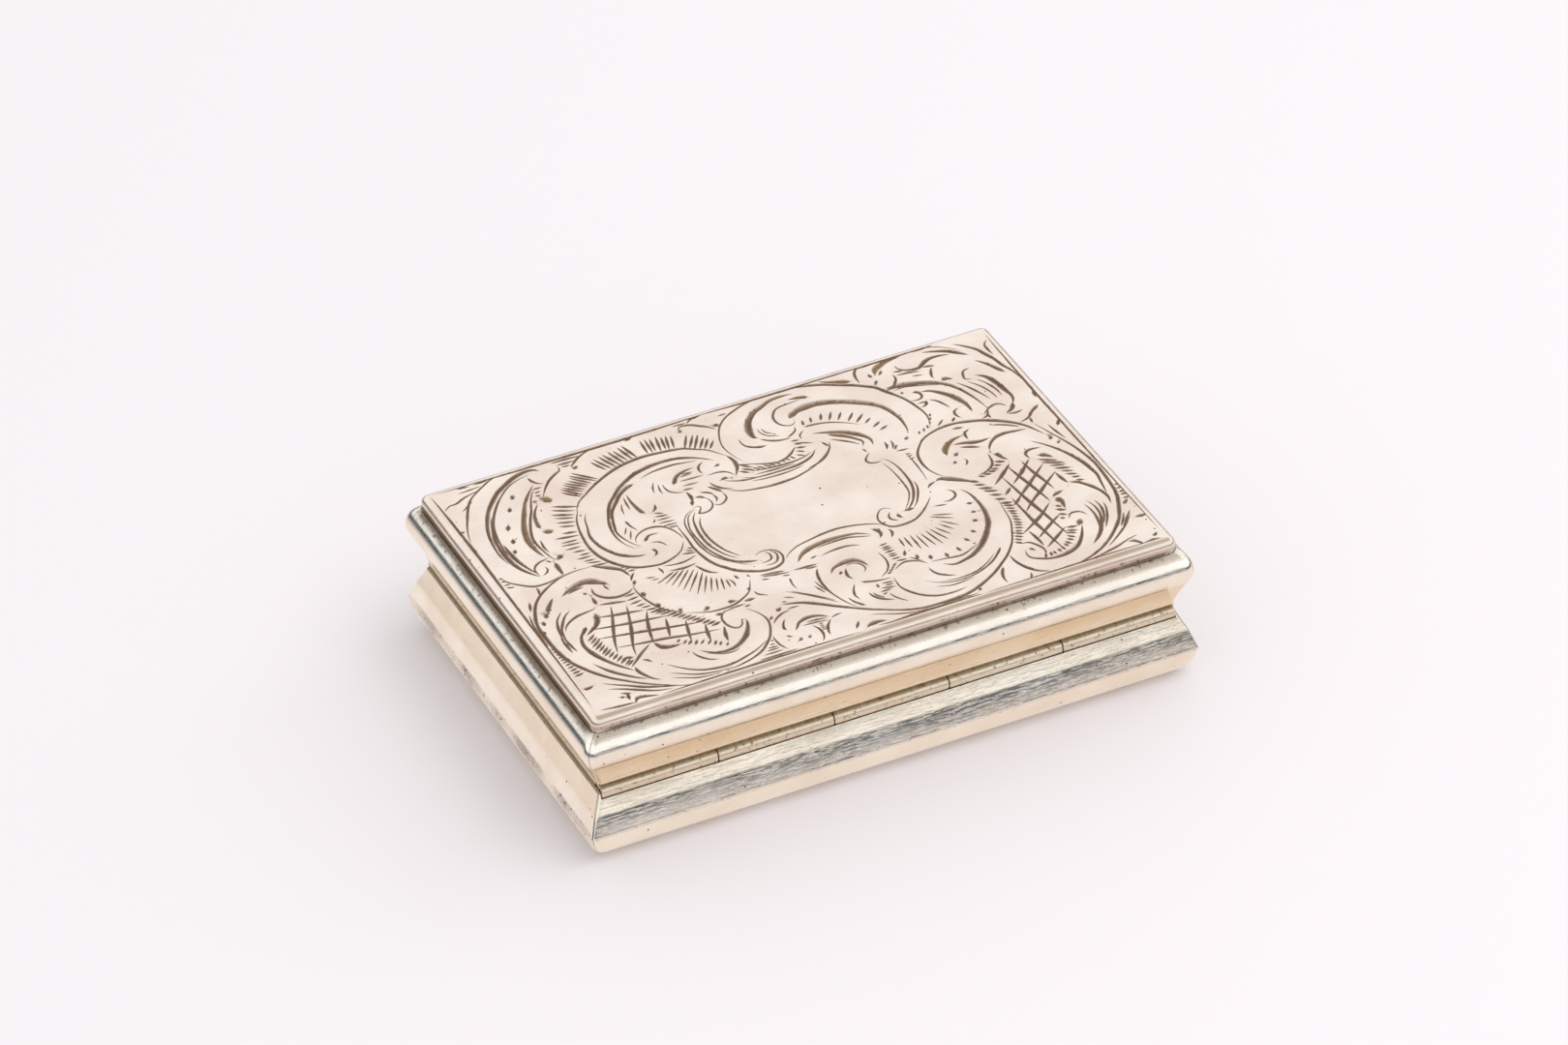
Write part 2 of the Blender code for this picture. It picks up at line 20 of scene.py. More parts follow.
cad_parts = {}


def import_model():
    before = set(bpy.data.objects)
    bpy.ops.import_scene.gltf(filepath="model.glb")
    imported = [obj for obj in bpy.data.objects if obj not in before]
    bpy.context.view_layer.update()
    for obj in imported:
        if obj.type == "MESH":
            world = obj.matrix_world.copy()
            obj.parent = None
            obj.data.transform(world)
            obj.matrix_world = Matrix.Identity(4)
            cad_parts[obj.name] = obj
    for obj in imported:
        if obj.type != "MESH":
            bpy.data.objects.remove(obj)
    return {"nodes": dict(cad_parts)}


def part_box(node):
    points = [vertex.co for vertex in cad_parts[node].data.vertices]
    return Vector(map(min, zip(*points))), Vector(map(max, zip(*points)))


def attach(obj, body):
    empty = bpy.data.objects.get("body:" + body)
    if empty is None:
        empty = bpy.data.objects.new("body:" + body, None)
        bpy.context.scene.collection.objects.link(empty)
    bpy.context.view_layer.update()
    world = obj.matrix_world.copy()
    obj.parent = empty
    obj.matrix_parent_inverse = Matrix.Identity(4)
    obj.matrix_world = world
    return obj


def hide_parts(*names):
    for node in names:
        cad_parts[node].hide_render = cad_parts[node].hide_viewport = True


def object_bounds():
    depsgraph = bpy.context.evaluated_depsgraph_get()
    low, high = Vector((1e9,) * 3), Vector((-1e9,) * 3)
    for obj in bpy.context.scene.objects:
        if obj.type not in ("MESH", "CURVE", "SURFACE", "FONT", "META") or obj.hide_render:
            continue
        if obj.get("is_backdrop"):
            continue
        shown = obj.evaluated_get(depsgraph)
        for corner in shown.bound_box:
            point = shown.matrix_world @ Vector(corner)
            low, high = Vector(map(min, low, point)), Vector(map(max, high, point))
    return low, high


LOG = logging.getLogger("vinaigrette")
MM = 0.001
Point = tuple[float, float]
# How tarnished and how golden a place is, each from 0 to 1.
Stain = tuple[float, float]
# The share of a cut's drawn width that its walls take, so that its drawn edges stay on the flat.
WALL_SHARE = 0.93


class Side(Enum):
    """A side of the box, with the turn that brings the hinge side there."""

    BACK = 0.0
    RIGHT = -math.pi / 2
    FRONT = math.pi
    LEFT = math.pi / 2

    @property
    def label(self) -> str:
        """The side's word in the piece names."""
        return self.name.lower()

    @property
    def is_long(self) -> bool:
        """Whether the side runs along the box."""
        return self in (Side.BACK, Side.FRONT)


def linear(colour: str) -> tuple[float, float, float, float]:
    """Turns an sRGB hex colour into the linear values that a shader takes.

    Args:
        colour: Six hex digits, such as "#E9E1D8".

    Returns:
        Red, green, blue and an alpha of one.
    """
    channels = [int(colour[place : place + 2], 16) / 255 for place in (1, 3, 5)]
    light = [c / 12.92 if c <= 0.04045 else ((c + 0.055) / 1.055) ** 2.4 for c in channels]
    return (light[0], light[1], light[2], 1.0)


def clamp(value: float, low: float = 0.0, high: float = 1.0) -> float:
    """Keeps a value between two limits."""
    return max(low, min(high, value))


def start_material(name: str) -> tuple[bpy.types.Material, bpy.types.NodeTree, bpy.types.Node]:
    """Starts a material that is made of nodes.

    Args:
        name: The material's name.

    Returns:
        The material, its node tree and its shader.
    """
    material = bpy.data.materials.new(name)
    material.use_nodes = True
    return material, material.node_tree, material.node_tree.nodes["Principled BSDF"]


def add(
    tree: bpy.types.NodeTree,
    kind: str,
    inputs: dict[Any, Any] | None = None,
    **settings: Any,
) -> Any:
    """Adds one node to a tree.

    Args:
        tree: The node tree.
        kind: The node's type without its ShaderNode prefix.
        inputs: Input name or place to a value, or to an output socket that is linked to it.
        **settings: Properties of the node.

    Returns:
        The new node.
    """
    node = tree.nodes.new("ShaderNode" + kind)
    for name, value in settings.items():
        setattr(node, name, value)
    for name, value in (inputs or {}).items():
        socket = node.inputs[name]
        if isinstance(value, bpy.types.NodeSocket):
            tree.links.new(value, socket)
        else:
            socket.default_value = value
    return node


def add_ramp(tree: bpy.types.NodeTree, factor: Any, stops: Sequence[tuple[float, Any]]) -> Any:
    """Adds a colour ramp and gives back its colour output.

    Args:
        tree: The node tree.
        factor: The socket that drives the ramp.
        stops: Places with a hex colour, or with a grey level.

    Returns:
        The ramp's colour socket.
    """
    node = add(tree, "ValToRGB", {"Fac": factor})
    ramp = node.color_ramp
    while len(ramp.elements) < len(stops):
        ramp.elements.new(0.5)
    for element, (place, colour) in zip(ramp.elements, stops):
        element.position = place
        element.color = linear(colour) if isinstance(colour, str) else (colour, colour, colour, 1.0)
    return node.outputs["Color"]


def arc(start: Point, end: Point, bulge: float, steps: int) -> list[Point]:
    """Gives the points of an arc between two section points.

    Args:
        start: The first point.
        end: The last point.
        bulge: How far the arc stands out of its chord, or into it where negative.
        steps: The number of chords.

    Returns:
        The points, both ends included.
    """
    first, last = Vector(start), Vector(end)
    along = (last - first).normalized()
    outward = Vector((-along.y, along.x))
    half = (last - first).length / 2
    radius = (half**2 + bulge**2) / (2 * bulge)
    centre = (first + last) / 2 + outward * (bulge - radius)
    reach = math.asin(half / radius)
    points = []
    for step in range(steps + 1):
        angle = reach * (2 * step / steps - 1)
        points.append(centre + along * radius * math.sin(angle) + outward * radius * math.cos(angle))
    return [(point.x, point.y) for point in points]


def stain_layers(build: bmesh.types.BMesh) -> tuple[Any, Any]:
    """Adds the layers that hold how tarnished and how golden each point is."""
    layers = build.verts.layers.float
    return layers.new("tarnish"), layers.new("gold")


def rim_of(grown: Sequence[Any]) -> list[bmesh.types.BMEdge]:
    """Picks the open edges out of what an operator gives back."""
    return [item for item in grown if isinstance(item, bmesh.types.BMEdge) and item.is_boundary]


def finish_piece(
    name: str,
    build: bmesh.types.BMesh,
    material: bpy.types.Material,
    sharp_degrees: float = 30.0,
) -> bpy.types.Object:
    """Turns a bmesh in millimetres into a shaded object in metres, at the origin.

    Args:
        name: The piece's name.
        build: The mesh, which is freed.
        material: The piece's finish.
        sharp_degrees: The angle from which an edge stays sharp.

    Returns:
        The object.
    """
    bmesh.ops.scale(build, vec=(MM, MM, MM), verts=build.verts)
    mesh = bpy.data.meshes.new(name)
    build.to_mesh(mesh)
    build.free()
    mesh.shade_smooth()
    mesh.set_sharp_from_angle(angle=math.radians(sharp_degrees))
    mesh.materials.append(material)
    piece = bpy.data.objects.new(name, mesh)
    bpy.context.scene.collection.objects.link(piece)
    LOG.info("%s: %d faces", name, len(mesh.polygons))
    return piece


def carve(piece: bpy.types.Object, cutter: bpy.types.Object) -> None:
    """Takes the cutter's shape out of a piece for good.

    Args:
        piece: The piece, whose mesh is replaced.
        cutter: The closed object that cuts it.
    """
    modifier = piece.modifiers.new("cut", "BOOLEAN")
    modifier.operation = "DIFFERENCE"
    modifier.object = cutter
    graph = bpy.context.evaluated_depsgraph_get()
    carved = bpy.data.meshes.new_from_object(piece.evaluated_get(graph))
    carved.name = piece.name
    piece.modifiers.clear()
    piece.data = carved


@dataclass(frozen=True)
class OldSilver:
    """Polished silver after long handling: softened, scratched, brown where cloth can't reach.

    Its patterns' scales are counts per millimetre, divided by MM, and its gaps are millimetres.
    """

    name: str = "old polished silver"
    metal: str = "#F9F5F0"
    dull: str = "#EFE7DE"
    tarnish: str = "#5F4A3B"
    gilding: str = "#B79A55"
    roughness: float = 0.08
    scratch_gap: float = 0.07
    wash: str = "#E6C995"
    pit_gap: float = 0.6

    def tarnished(self, tree: bpy.types.NodeTree, place: Any) -> tuple[Any, Any]:
        """Gives the metal's colour and how tarnished it is.

        Args:
            tree: The node tree.
            place: The place on the piece.

        Returns:
            The colour and the tarnish, as sockets.
        """
        dirt = add(tree, "Attribute", attribute_name="tarnish").outputs["Fac"]
        gold = add(tree, "Attribute", attribute_name="gold").outputs["Fac"]
        # Blotches a few millimetres across, where handling kept the metal brighter or duller.
        blotch = add(tree, "TexNoise", {"Vector": place, "Scale": 0.3 / MM, "Detail": 5.0})
        speck = add(tree, "TexNoise", {"Vector": place, "Scale": 4.2 / MM, "Detail": 3.0}).outputs["Fac"]
        uneven = add(tree, "Math", {0: speck, 1: 0.7, 2: 0.65}, operation="MULTIPLY_ADD").outputs[0]
        soiled = add(tree, "Math", {0: dirt, 1: uneven}, operation="MULTIPLY").outputs[0]
        # Where there is dirt, the pattern's peaks show as darker flecks.
        sharp = {0: speck, 1: 9.0, 2: -5.4}
        fleck = add(tree, "Math", sharp, operation="MULTIPLY_ADD", use_clamp=True).outputs[0]
        flecked = add(tree, "Math", {0: fleck, 1: dirt}, operation="MULTIPLY").outputs[0]
        pitted = {0: flecked, 1: 2.2, 2: self.pits(tree, place)}
        spots = add(tree, "Math", pitted, operation="MULTIPLY_ADD").outputs[0]
        deep = add(tree, "Math", {0: soiled, 1: spots}, operation="ADD", use_clamp=True).outputs[0]
        depth = add_ramp(tree, deep, ((0.02, 0.0), (0.3, 0.85), (0.7, 1.0)))
        warm = add_ramp(tree, blotch.outputs["Fac"], ((0.34, self.metal), (0.66, self.dull)))
        film = {0: gold, 6: linear(self.tarnish), 7: linear(self.gilding)}
        brown = add(tree, "Mix", film, data_type="RGBA").outputs[2]
        thin = {0: gold, 6: warm, 7: linear(self.wash)}
        washed = add(tree, "Mix", thin, data_type="RGBA").outputs[2]
        colour = add(tree, "Mix", {0: depth, 6: washed, 7: brown}, data_type="RGBA").outputs[2]
        return colour, depth

    def pits(self, tree: bpy.types.NodeTree, place: Any) -> Any:
        """Gives the pin-pricks of wear, some tenths of a millimetre apart and filled with dirt.

        Args:
            tree: The node tree.
            place: The place on the piece.

        Returns:
            A socket that is above zero in a pit.
        """
        cells = add(tree, "TexVoronoi", {"Vector": place, "Scale": 1 / (self.pit_gap * MM)}).outputs
        chance = add(tree, "SeparateColor", {0: cells["Color"]}).outputs[0]
        size = add(tree, "Math", {0: chance, 1: 0.5, 2: -0.36}, operation="MULTIPLY_ADD").outputs[0]
        inside = add(tree, "Math", {0: size, 1: cells["Distance"]}, operation="SUBTRACT").outputs[0]
        return add(tree, "Math", {0: inside, 1: 22.0}, operation="MULTIPLY", use_clamp=True).outputs[0]

    def scratches(self, tree: bpy.types.NodeTree, place: Any) -> Any:
        """Gives the hairlines left by wiping, drawn coarser than the real ones so that they show.

        Args:
            tree: The node tree.
            place: The place on the piece.

        Returns:
            A height that is 1 on the plain metal and lower in a scratch.
        """
        height = None
        for turn, stretch in ((0.08, 26.0), (-0.35, 14.0), (0.7, 18.0)):
            lie = {"Vector": place, "Rotation": (0.4, 0.3, turn), "Scale": (1.0, stretch, stretch)}
            spin = add(tree, "Mapping", lie).outputs[0]
            base = 1 / (self.scratch_gap * MM * stretch)
            grain = add(tree, "TexNoise", {"Vector": spin, "Scale": base, "Detail": 2.0})
            line = add_ramp(tree, grain.outputs["Fac"], ((0.6, 1.0), (0.68, 0.0)))
            if height is None:
                height = line
            else:
                height = add(tree, "Math", {0: height, 1: line}, operation="MULTIPLY").outputs[0]
        return height

    def make(self) -> bpy.types.Material:
        """Builds the material.

        Returns:
            The material, which reads the tarnish and gold attributes of a piece.
        """
        material, tree, shader = start_material(self.name)
        place = add(tree, "TexCoord").outputs["Object"]
        colour, depth = self.tarnished(tree, place)
        tree.links.new(colour, shader.inputs["Base Color"])
        lines = self.scratches(tree, place)
        # Scratches, then the metal's own grain, then the slow waves of hand polishing.
        grain = add(tree, "TexNoise", {"Vector": place, "Scale": 7 / MM, "Detail": 4.0}).outputs["Fac"]
        wave = add(tree, "TexNoise", {"Vector": place, "Scale": 0.42 / MM, "Detail": 2.0}).outputs["Fac"]
        relief = add(tree, "Bump", {"Height": lines, "Strength": 0.12, "Distance": 0.02 * MM})
        for height, strength, distance in ((grain, 0.12, 0.02), (wave, 0.25, 0.06)):
            under = relief.outputs[0]
            rise = {"Height": height, "Strength": strength, "Distance": distance * MM, "Normal": under}
            relief = add(tree, "Bump", rise)
        tree.links.new(relief.outputs[0], shader.inputs["Normal"])
        soft = {0: depth, 1: 0.4, 2: self.roughness}
        rough = add(tree, "Math", soft, operation="MULTIPLY_ADD").outputs[0]
        smudge = add(tree, "TexNoise", {"Vector": place, "Scale": 0.7 / MM, "Detail": 3.0}).outputs["Fac"]
        worn = add(tree, "Math", {0: smudge, 1: 0.14, 2: rough}, operation="MULTIPLY_ADD")
        tree.links.new(worn.outputs[0], shader.inputs["Roughness"])
        # The brown in the cuts is a dull film and grime, no longer metal to the eye.
        bare = add(tree, "Math", {0: depth, 1: -0.85, 2: 1.0}, operation="MULTIPLY_ADD")
        tree.links.new(bare.outputs[0], shader.inputs["Metallic"])
        return material


@dataclass(frozen=True)
class PlainMetal:
    """A metal of one colour with a fine uneven sheen, such as drawn wire."""

    name: str
    colour: str
    darker: str
    roughness: float

    def make(self) -> bpy.types.Material:
        """Builds the material.

        Returns:
            The material.
        """
        material, tree, shader = start_material(self.name)
        place = add(tree, "TexCoord").outputs["Object"]
        wear = add(tree, "TexNoise", {"Vector": place, "Scale": 0.9 / MM, "Detail": 5.0}).outputs["Fac"]
        colour = add_ramp(tree, wear, ((0.35, self.darker), (0.6, self.colour)))
        tree.links.new(colour, shader.inputs["Base Color"])
        rubbed = {0: wear, 1: 0.25, 2: self.roughness - 0.1}
        rough = add(tree, "Math", rubbed, operation="MULTIPLY_ADD")
        tree.links.new(rough.outputs[0], shader.inputs["Roughness"])
        bump = add(tree, "Bump", {"Height": wear, "Strength": 0.2, "Distance": 0.02 * MM})
        tree.links.new(bump.outputs[0], shader.inputs["Normal"])
        shader.inputs["Metallic"].default_value = 1.0
        return material


@dataclass(frozen=True)
class NaturalSponge:
    """Dry natural sponge: honey brown and dull, with open pores among finer fibres, the pores darkened in
    the colour as painted shade.
    """

    name: str = "natural sponge"
    pore_size: float = 0.45
    fibre_size: float = 0.25
    bend_size: float = 1.1

    def make(self) -> bpy.types.Material:
        """Builds the material.

        Returns:
            The material.
        """
        material, tree, shader = start_material(self.name)
        place = add(tree, "TexCoord").outputs["Object"]
        wide, fine = 1 / (self.bend_size * MM), 1 / (self.fibre_size * MM)
        bend = add(tree, "TexNoise", {"Vector": place, "Scale": wide, "Detail": 4.0}).outputs["Color"]
        # Mixing a little of the noise into the place keeps the pores from being alike.
        swayed = add(tree, "Mix", {0: 0.0016, 4: place, 5: bend}, data_type="VECTOR").outputs[1]
        cells = add(tree, "TexVoronoi", {"Vector": swayed, "Scale": 1 / (self.pore_size * MM)})
        pores = cells.outputs["Distance"]
        fibre = add(tree, "TexNoise", {"Vector": place, "Scale": fine, "Detail": 6.0}).outputs["Fac"]
        # The colour is darkest at each pore's middle: painted shade inside the open pores, under the
        # fibres' own uneven tone.
        pore_shade_and_fibre = add(tree, "Math", {0: pores, 1: fibre}, operation="MULTIPLY").outputs[0]
        colour = add_ramp(tree, pore_shade_and_fibre, ((0.04, "#7A5A2E"), (0.16, "#B08A50"), (0.4, "#D0AD76")))
        tree.links.new(colour, shader.inputs["Base Color"])
        bump = add(tree, "Bump", {"Height": pores, "Strength": 0.8, "Distance": 0.2 * MM})
        tree.links.new(bump.outputs[0], shader.inputs["Normal"])
        shader.inputs["Roughness"].default_value = 0.95
        return material


@dataclass
class Box:
    """The outside of the box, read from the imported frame."""

    half_length: float
    half_width: float

    def run(self, side: Side) -> float:
        """Half the length of a side."""
        return self.half_length if side.is_long else self.half_width

    def depth(self, side: Side) -> float:
        """How far a side lies from the middle."""
        return self.half_width if side.is_long else self.half_length


@dataclass
class HingeLine:
    """The lid hinge's axis, and the channel that runs through the mouldings round it."""

    inset: float = 1.2
    height: float = 4.22
    channel_radius: float = 0.47
    tube_reach: float = 17.9
    end_gap: float = 0.05

    def channel(self, box: Box, reach: float) -> bpy.types.Object:
        """Makes the cylinder that clears the channel.

        Args:
            box: The box's outside.
            reach: How far it runs to each side of the middle.

        Returns:
            The cutter, in metres.
        """
        centre = Vector((0, box.half_width - self.inset, self.height))
        build = bmesh.new()
        bmesh.ops.create_cone(
            build,
            cap_ends=True,
            segments=48,
            radius1=self.channel_radius,
            radius2=self.channel_radius,
            depth=2 * reach,
            matrix=Matrix.Translation(centre) @ Matrix.Rotation(math.pi / 2, 4, "Y"),
        )
        return finish_piece("hinge channel", build, bpy.data.materials.new("cut"))


@dataclass
class Strip:
    """One drawn moulding strip of a mitred frame, with the small unevenness of handwork.

    The section's points from the place inside_from on lie inside the box, where it is gilded.
    """

    section: list[Point]
    inside_from: int
    stain: Callable[[float, float], Stain]
    rounding: Callable[[float], float]
    joint_gap: float = 0.02
    segments: int = 96
    sway: float = 0.03
    gilt_inside: Stain = (0.0, 1.0)
    ridge_dirt: float = 0.1
    ridge_patches: float = 0.14
    clean_corner: float = 1.2
    long_side_share: float = 0.5

    def build(self, box: Box, side: Side) -> bmesh.types.BMesh:
        """Draws the section along a side and mitres both ends.

        Args:
            box: The box's outside.
            side: The side that the strip is for.

        Returns:
            The strip in place.
        """
        half_run, half_depth = box.run(side) - self.joint_gap, box.depth(side)
        build = bmesh.new()
        tarnish, gold = stain_layers(build)
        loop = [build.verts.new((-1, inset, height)) for inset, height in self.section]
        for place, vertex in enumerate(loop):
            outside = place < self.inside_from
            stained = self.stain(*self.section[place]) if outside else self.gilt_inside
            vertex[tarnish], vertex[gold] = stained
        edges = [build.edges.new(pair) for pair in zip(loop, loop[1:] + loop[:1])]
        start = build.faces.new(loop)
        drawn = bmesh.ops.spin(
            build,
            geom=loop + edges,
            dvec=(2 / self.segments, 0, 0),
            angle=0.0,
            steps=self.segments,
        )
        end_edges = [item for item in drawn["geom_last"] if isinstance(item, bmesh.types.BMEdge)]
        bmesh.ops.edgeloop_fill(build, edges=end_edges)
        start.normal_update()
        for vertex in build.verts:
            share, inset, height = vertex.co
            # The segments lie closer together towards the corners, where the strip turns.
            share = math.sin(share * math.pi / 2)
            # Each side bows in and out slowly along its length, in its own way.
            spot = Vector((share * half_run * 0.09, side.value * 3, height * 0.3))
            drift = self.sway * noise.noise(spot)
            away, extra = self.turned((1 - abs(share)) * (half_run - inset), self.rounding(height))
            along = math.copysign(half_run - inset - away, share)
            # On the short sides the base's ridge is dirty in patches.
            if not side.is_long and inset < 0.1 and height < 2.5:
                patch = noise.noise(Vector((along * 0.5, side.value, 5.0)))
                vertex[tarnish] = self.ridge_dirt + self.ridge_patches * patch
            # Beside the plate the dirt is patchy, and wiped off near the corners.
            if inset > 0.4 and vertex[tarnish] > 0.1 and height > 7:
                patchy = 0.8 + 0.5 * noise.noise(Vector((along * 0.45, side.value, 2.0)))
                patchy *= min(1.0, away / self.clean_corner)
                vertex[tarnish] *= patchy * (self.long_side_share if side.is_long else 1.0)
            deep = half_depth - inset - extra - abs(drift) * (1 - abs(share) ** 8)
            vertex.co = (along, deep, height)
        bmesh.ops.transform(build, matrix=Matrix.Rotation(side.value, 4, "Z"), verts=build.verts)
        bmesh.ops.recalc_face_normals(build, faces=build.faces)
        return build

    @staticmethod
    def turned(away: float, radius: float) -> Point:
        """Rounds the corner that two strips share.

        Args:
            away: How far a point lies from the mitre.
            radius: The corner's radius.

        Returns:
            How far it lies from the mitre's sharp corner after rounding, along and into the strip.
        """
        if away >= radius:
            return away, 0.0
        angle = math.pi / 4 * (1 - away / radius)
        return radius * (1 - math.sin(angle)), radius * (1 - math.cos(angle))

    def make_sides(
        self,
        box: Box,
        body: str,
        silver: bpy.types.Material,
        channel: bpy.types.Object,
    ) -> None:
        """Makes the four strips of one body.

        Args:
            box: The box's outside.
            body: The body that the strips ride on, which also names them.
            silver: Their finish.
            channel: The hinge's cutter, which leaves the front alone.
        """
        for side in Side:
            piece = finish_piece(f"{body}_moulding_{side.label}", self.build(box, side), silver)
            if side is not Side.FRONT:
                carve(piece, channel)
            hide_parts(f"{body}_side_{side.label}")
            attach(piece, body)


@dataclass
class BaseCase:
    """The base: a drawn moulding round a flat floor."""

    box: Box
    silver: bpy.types.Material
    gauge: float = 0.55
    foot_inset: float = 1.15
    ridge_height: float = 1.95
    ridge_step: Point = (0.02, 0.05)
    under_bulge: float = 0.3
    brow: Point = (0.42, 3.1)
    waist: Point = (0.955, 4.24)
    lip: Point = (1.04, 4.34)
    flank_bulge: float = 0.006
    cove_bulge: float = -0.008
    floor_height: float = 0.6
    flank_corner: float = 0.12
    foot_corner: float = 0.3
    ridge_stain: Stain = (0.1, 0.15)
    seam_stain: Stain = (0.3, 0.3)
    under_stain: Stain = (0.01, 0.13)
    flank_gold: float = 0.26
    gold_from: float = 2.8
    gold_fade: float = 0.4
    inside_from: int = 0

    def section(self) -> list[Point]:
        """Gives the moulding's closed section, from the foot round the outside and back inside."""
        ridge = (self.ridge_step[0], self.ridge_height + self.ridge_step[1])
        under = arc((self.foot_inset, 0.0), (0.0, self.ridge_height), self.under_bulge, 14)
        flank = arc(ridge, self.brow, self.flank_bulge, 8)
        flank += arc(self.brow, self.waist, self.cove_bulge, 14)[1:] + [self.lip]
        inner = [(inset + self.gauge, height) for inset, height in reversed(flank)]
        self.inside_from = len(under) + len(flank)
        return under + flank + inner[::4] + [(self.foot_inset, self.floor_height)]

    def stain(self, inset: float, height: float) -> Stain:
        """How tarnished and how golden the moulding is at a section point."""
        if abs(height - self.ridge_height) < 0.03:
            return self.ridge_stain
        if height > self.waist[1] - 0.02:
            return self.seam_stain
        if height > self.ridge_height:
            return 0.0, self.flank_gold * clamp((height - self.gold_from) / self.gold_fade)
        return self.under_stain

    def rounding(self, height: float) -> float:
        """The corners' radius at a height: crisp in the flank and softer below the ridge."""
        return self.flank_corner if height > self.ridge_height else self.foot_corner

    def make(self, channel: bpy.types.Object) -> None:
        """Makes the four strips.

        Args:
            channel: The hinge's cutter.
        """
        section = self.section()
        strip = Strip(section, self.inside_from, self.stain, self.rounding)
        strip.make_sides(self.box, "base", self.silver, channel)


@dataclass
class LidCase:
    """The lid's moulding: a cove from the seam and a bold half-round beside the plate."""

    box: Box
    silver: bpy.types.Material
    gauge: float = 0.55
    foot: Point = (1.0, 4.52)
    cove_start: Point = (1.0, 4.87)
    cove_end: Point = (0.38, 6.45)
    cove_bulge: float = -0.05
    ovolo_bulge: float = 0.045
    torus_radius: float = 1.36
    torus_height: float = 7.26
    torus_turn: float = 66.0
    torus_steps: int = 22
    crest_height: float = 8.1
    groove_inset: float = 0.78
    groove_drop: float = 0.07
    groove_width: float = 0.05
    groove_floor: Point = (0.02, 0.04)
    ledge_height: float = 8.69
    ledge_width: float = 1.0
    ledge_thickness: float = 0.5
    cove_corner: float = 0.25
    corner_gain: float = 0.45
    corner_loss: float = 0.25
    seam_stain: Stain = (0.4, 0.3)
    cove_stain: Stain = (0.0, 0.45)
    bare_stain: Stain = (0.0, 0.08)
    cove_top: float = 6.55
    inside_from: int = 0

    def torus(self) -> list[Point]:
        """Gives the bold half-round's points from its widest line up to the plate."""
        radius, points = self.torus_radius, []
        for step in range(1, self.torus_steps + 1):
            angle = math.radians(self.torus_turn * step / self.torus_steps)
            inset = radius * (1 - math.cos(angle))
            points.append((inset, self.torus_height + radius * math.sin(angle)))
        return points

    def section(self) -> list[Point]:
        """Gives the moulding's closed section, from the seam round the outside and back inside."""
        flank = arc(self.cove_start, self.cove_end, self.cove_bulge, 16)
        flank += arc(self.cove_end, (0.0, self.torus_height), self.ovolo_bulge, 14)[1:]
        torus = self.torus()
        crest, top = torus[-1]
        torus += [(crest + across, top - self.groove_drop) for across in self.groove_floor]
        groove = crest + self.groove_width
        end = groove + self.ledge_width
        ledge_top = self.ledge_height
        under = ledge_top - self.ledge_thickness
        ledge = [(groove, ledge_top), (end, ledge_top), (end, under), (self.gauge, under)]
        inner = [(inset + self.gauge, height) for inset, height in reversed(flank[:-1])]
        inner_foot = (self.foot[0] + self.gauge, self.foot[1])
        self.inside_from = 2 + len(flank) + len(torus)
        return [self.foot] + flank + torus + ledge + inner[::4] + [inner_foot]

    def stain(self, inset: float, height: float) -> Stain:
        """How tarnished and how golden the moulding is at a section point."""
        if height > self.crest_height:
            dirt = ((height - self.crest_height) * 2) ** 2 + 0.4 * (inset > self.groove_inset)
            return min(1.0, dirt), self.bare_stain[1]
        if height < self.foot[1] + 0.01:
            return self.seam_stain
        return self.cove_stain if height < self.cove_top else self.bare_stain

    def rounding(self, height: float) -> float:
        """The corners' radius at a height: small in the cove and bold round the half-round."""
        bold = self.cove_corner + self.corner_gain * clamp((height - self.cove_end[1]) / 0.8)
        return bold - self.corner_loss * clamp((height - self.torus_height) / 1.1)

    def make(self, channel: bpy.types.Object) -> None:
        """Makes the four strips.

        Args:
            channel: The hinge's cutter.
        """
        section = self.section()
        strip = Strip(section, self.inside_from, self.stain, self.rounding)
        strip.make_sides(self.box, "lid", self.silver, channel)


@dataclass(frozen=True)
class Cut:
    """One engraved line: a tapering V, given by u, w pairs from the plate's hinge corner.

    swell is the share of its length at which it is widest, lean is how far its valley lies to the
    left of the middle, and gold is how much old gilding is left in it.
    """

    width: float
    path: tuple[float, ...]
    swell: float = 0.5
    lean: float = 0.0
    gold: float = 0.0

    def points(self) -> list[Vector]:
        """Gives the path as points."""
        return [Vector(pair) for pair in zip(self.path[::2], self.path[1::2])]


@dataclass(frozen=True)
class TickRow:
    """A row of short cuts between a line of starts and a line of ends."""

    count: int
    width: float
    starts: tuple[float, ...]
    ends: tuple[float, ...]
    swell: float = 0.5

    def cuts(self) -> list[Cut]:
        """Gives the row's cuts, each a little off its place as a hand sets them.

        Returns:
            One cut for each tick.
        """
        first = smooth_path(Cut(0, self.starts).points(), 0.1)
        last = smooth_path(Cut(0, self.ends).points(), 0.1)
        row = []
        for index in range(self.count):
            share = index / max(1, self.count - 1)
            begin = first[round(share * (len(first) - 1))]
            end = last[round(share * (len(last) - 1))]
            jitter = 0.12 * noise.noise(Vector((begin.x * 3.1, begin.y * 3.7, index * 0.9)))
            stretch = (end - begin) * jitter
            ends = (begin.x - stretch.x, begin.y - stretch.y, end.x + stretch.x, end.y + stretch.y)
            row.append(Cut(self.width * (1 + 1.5 * jitter), ends, self.swell))
        return row


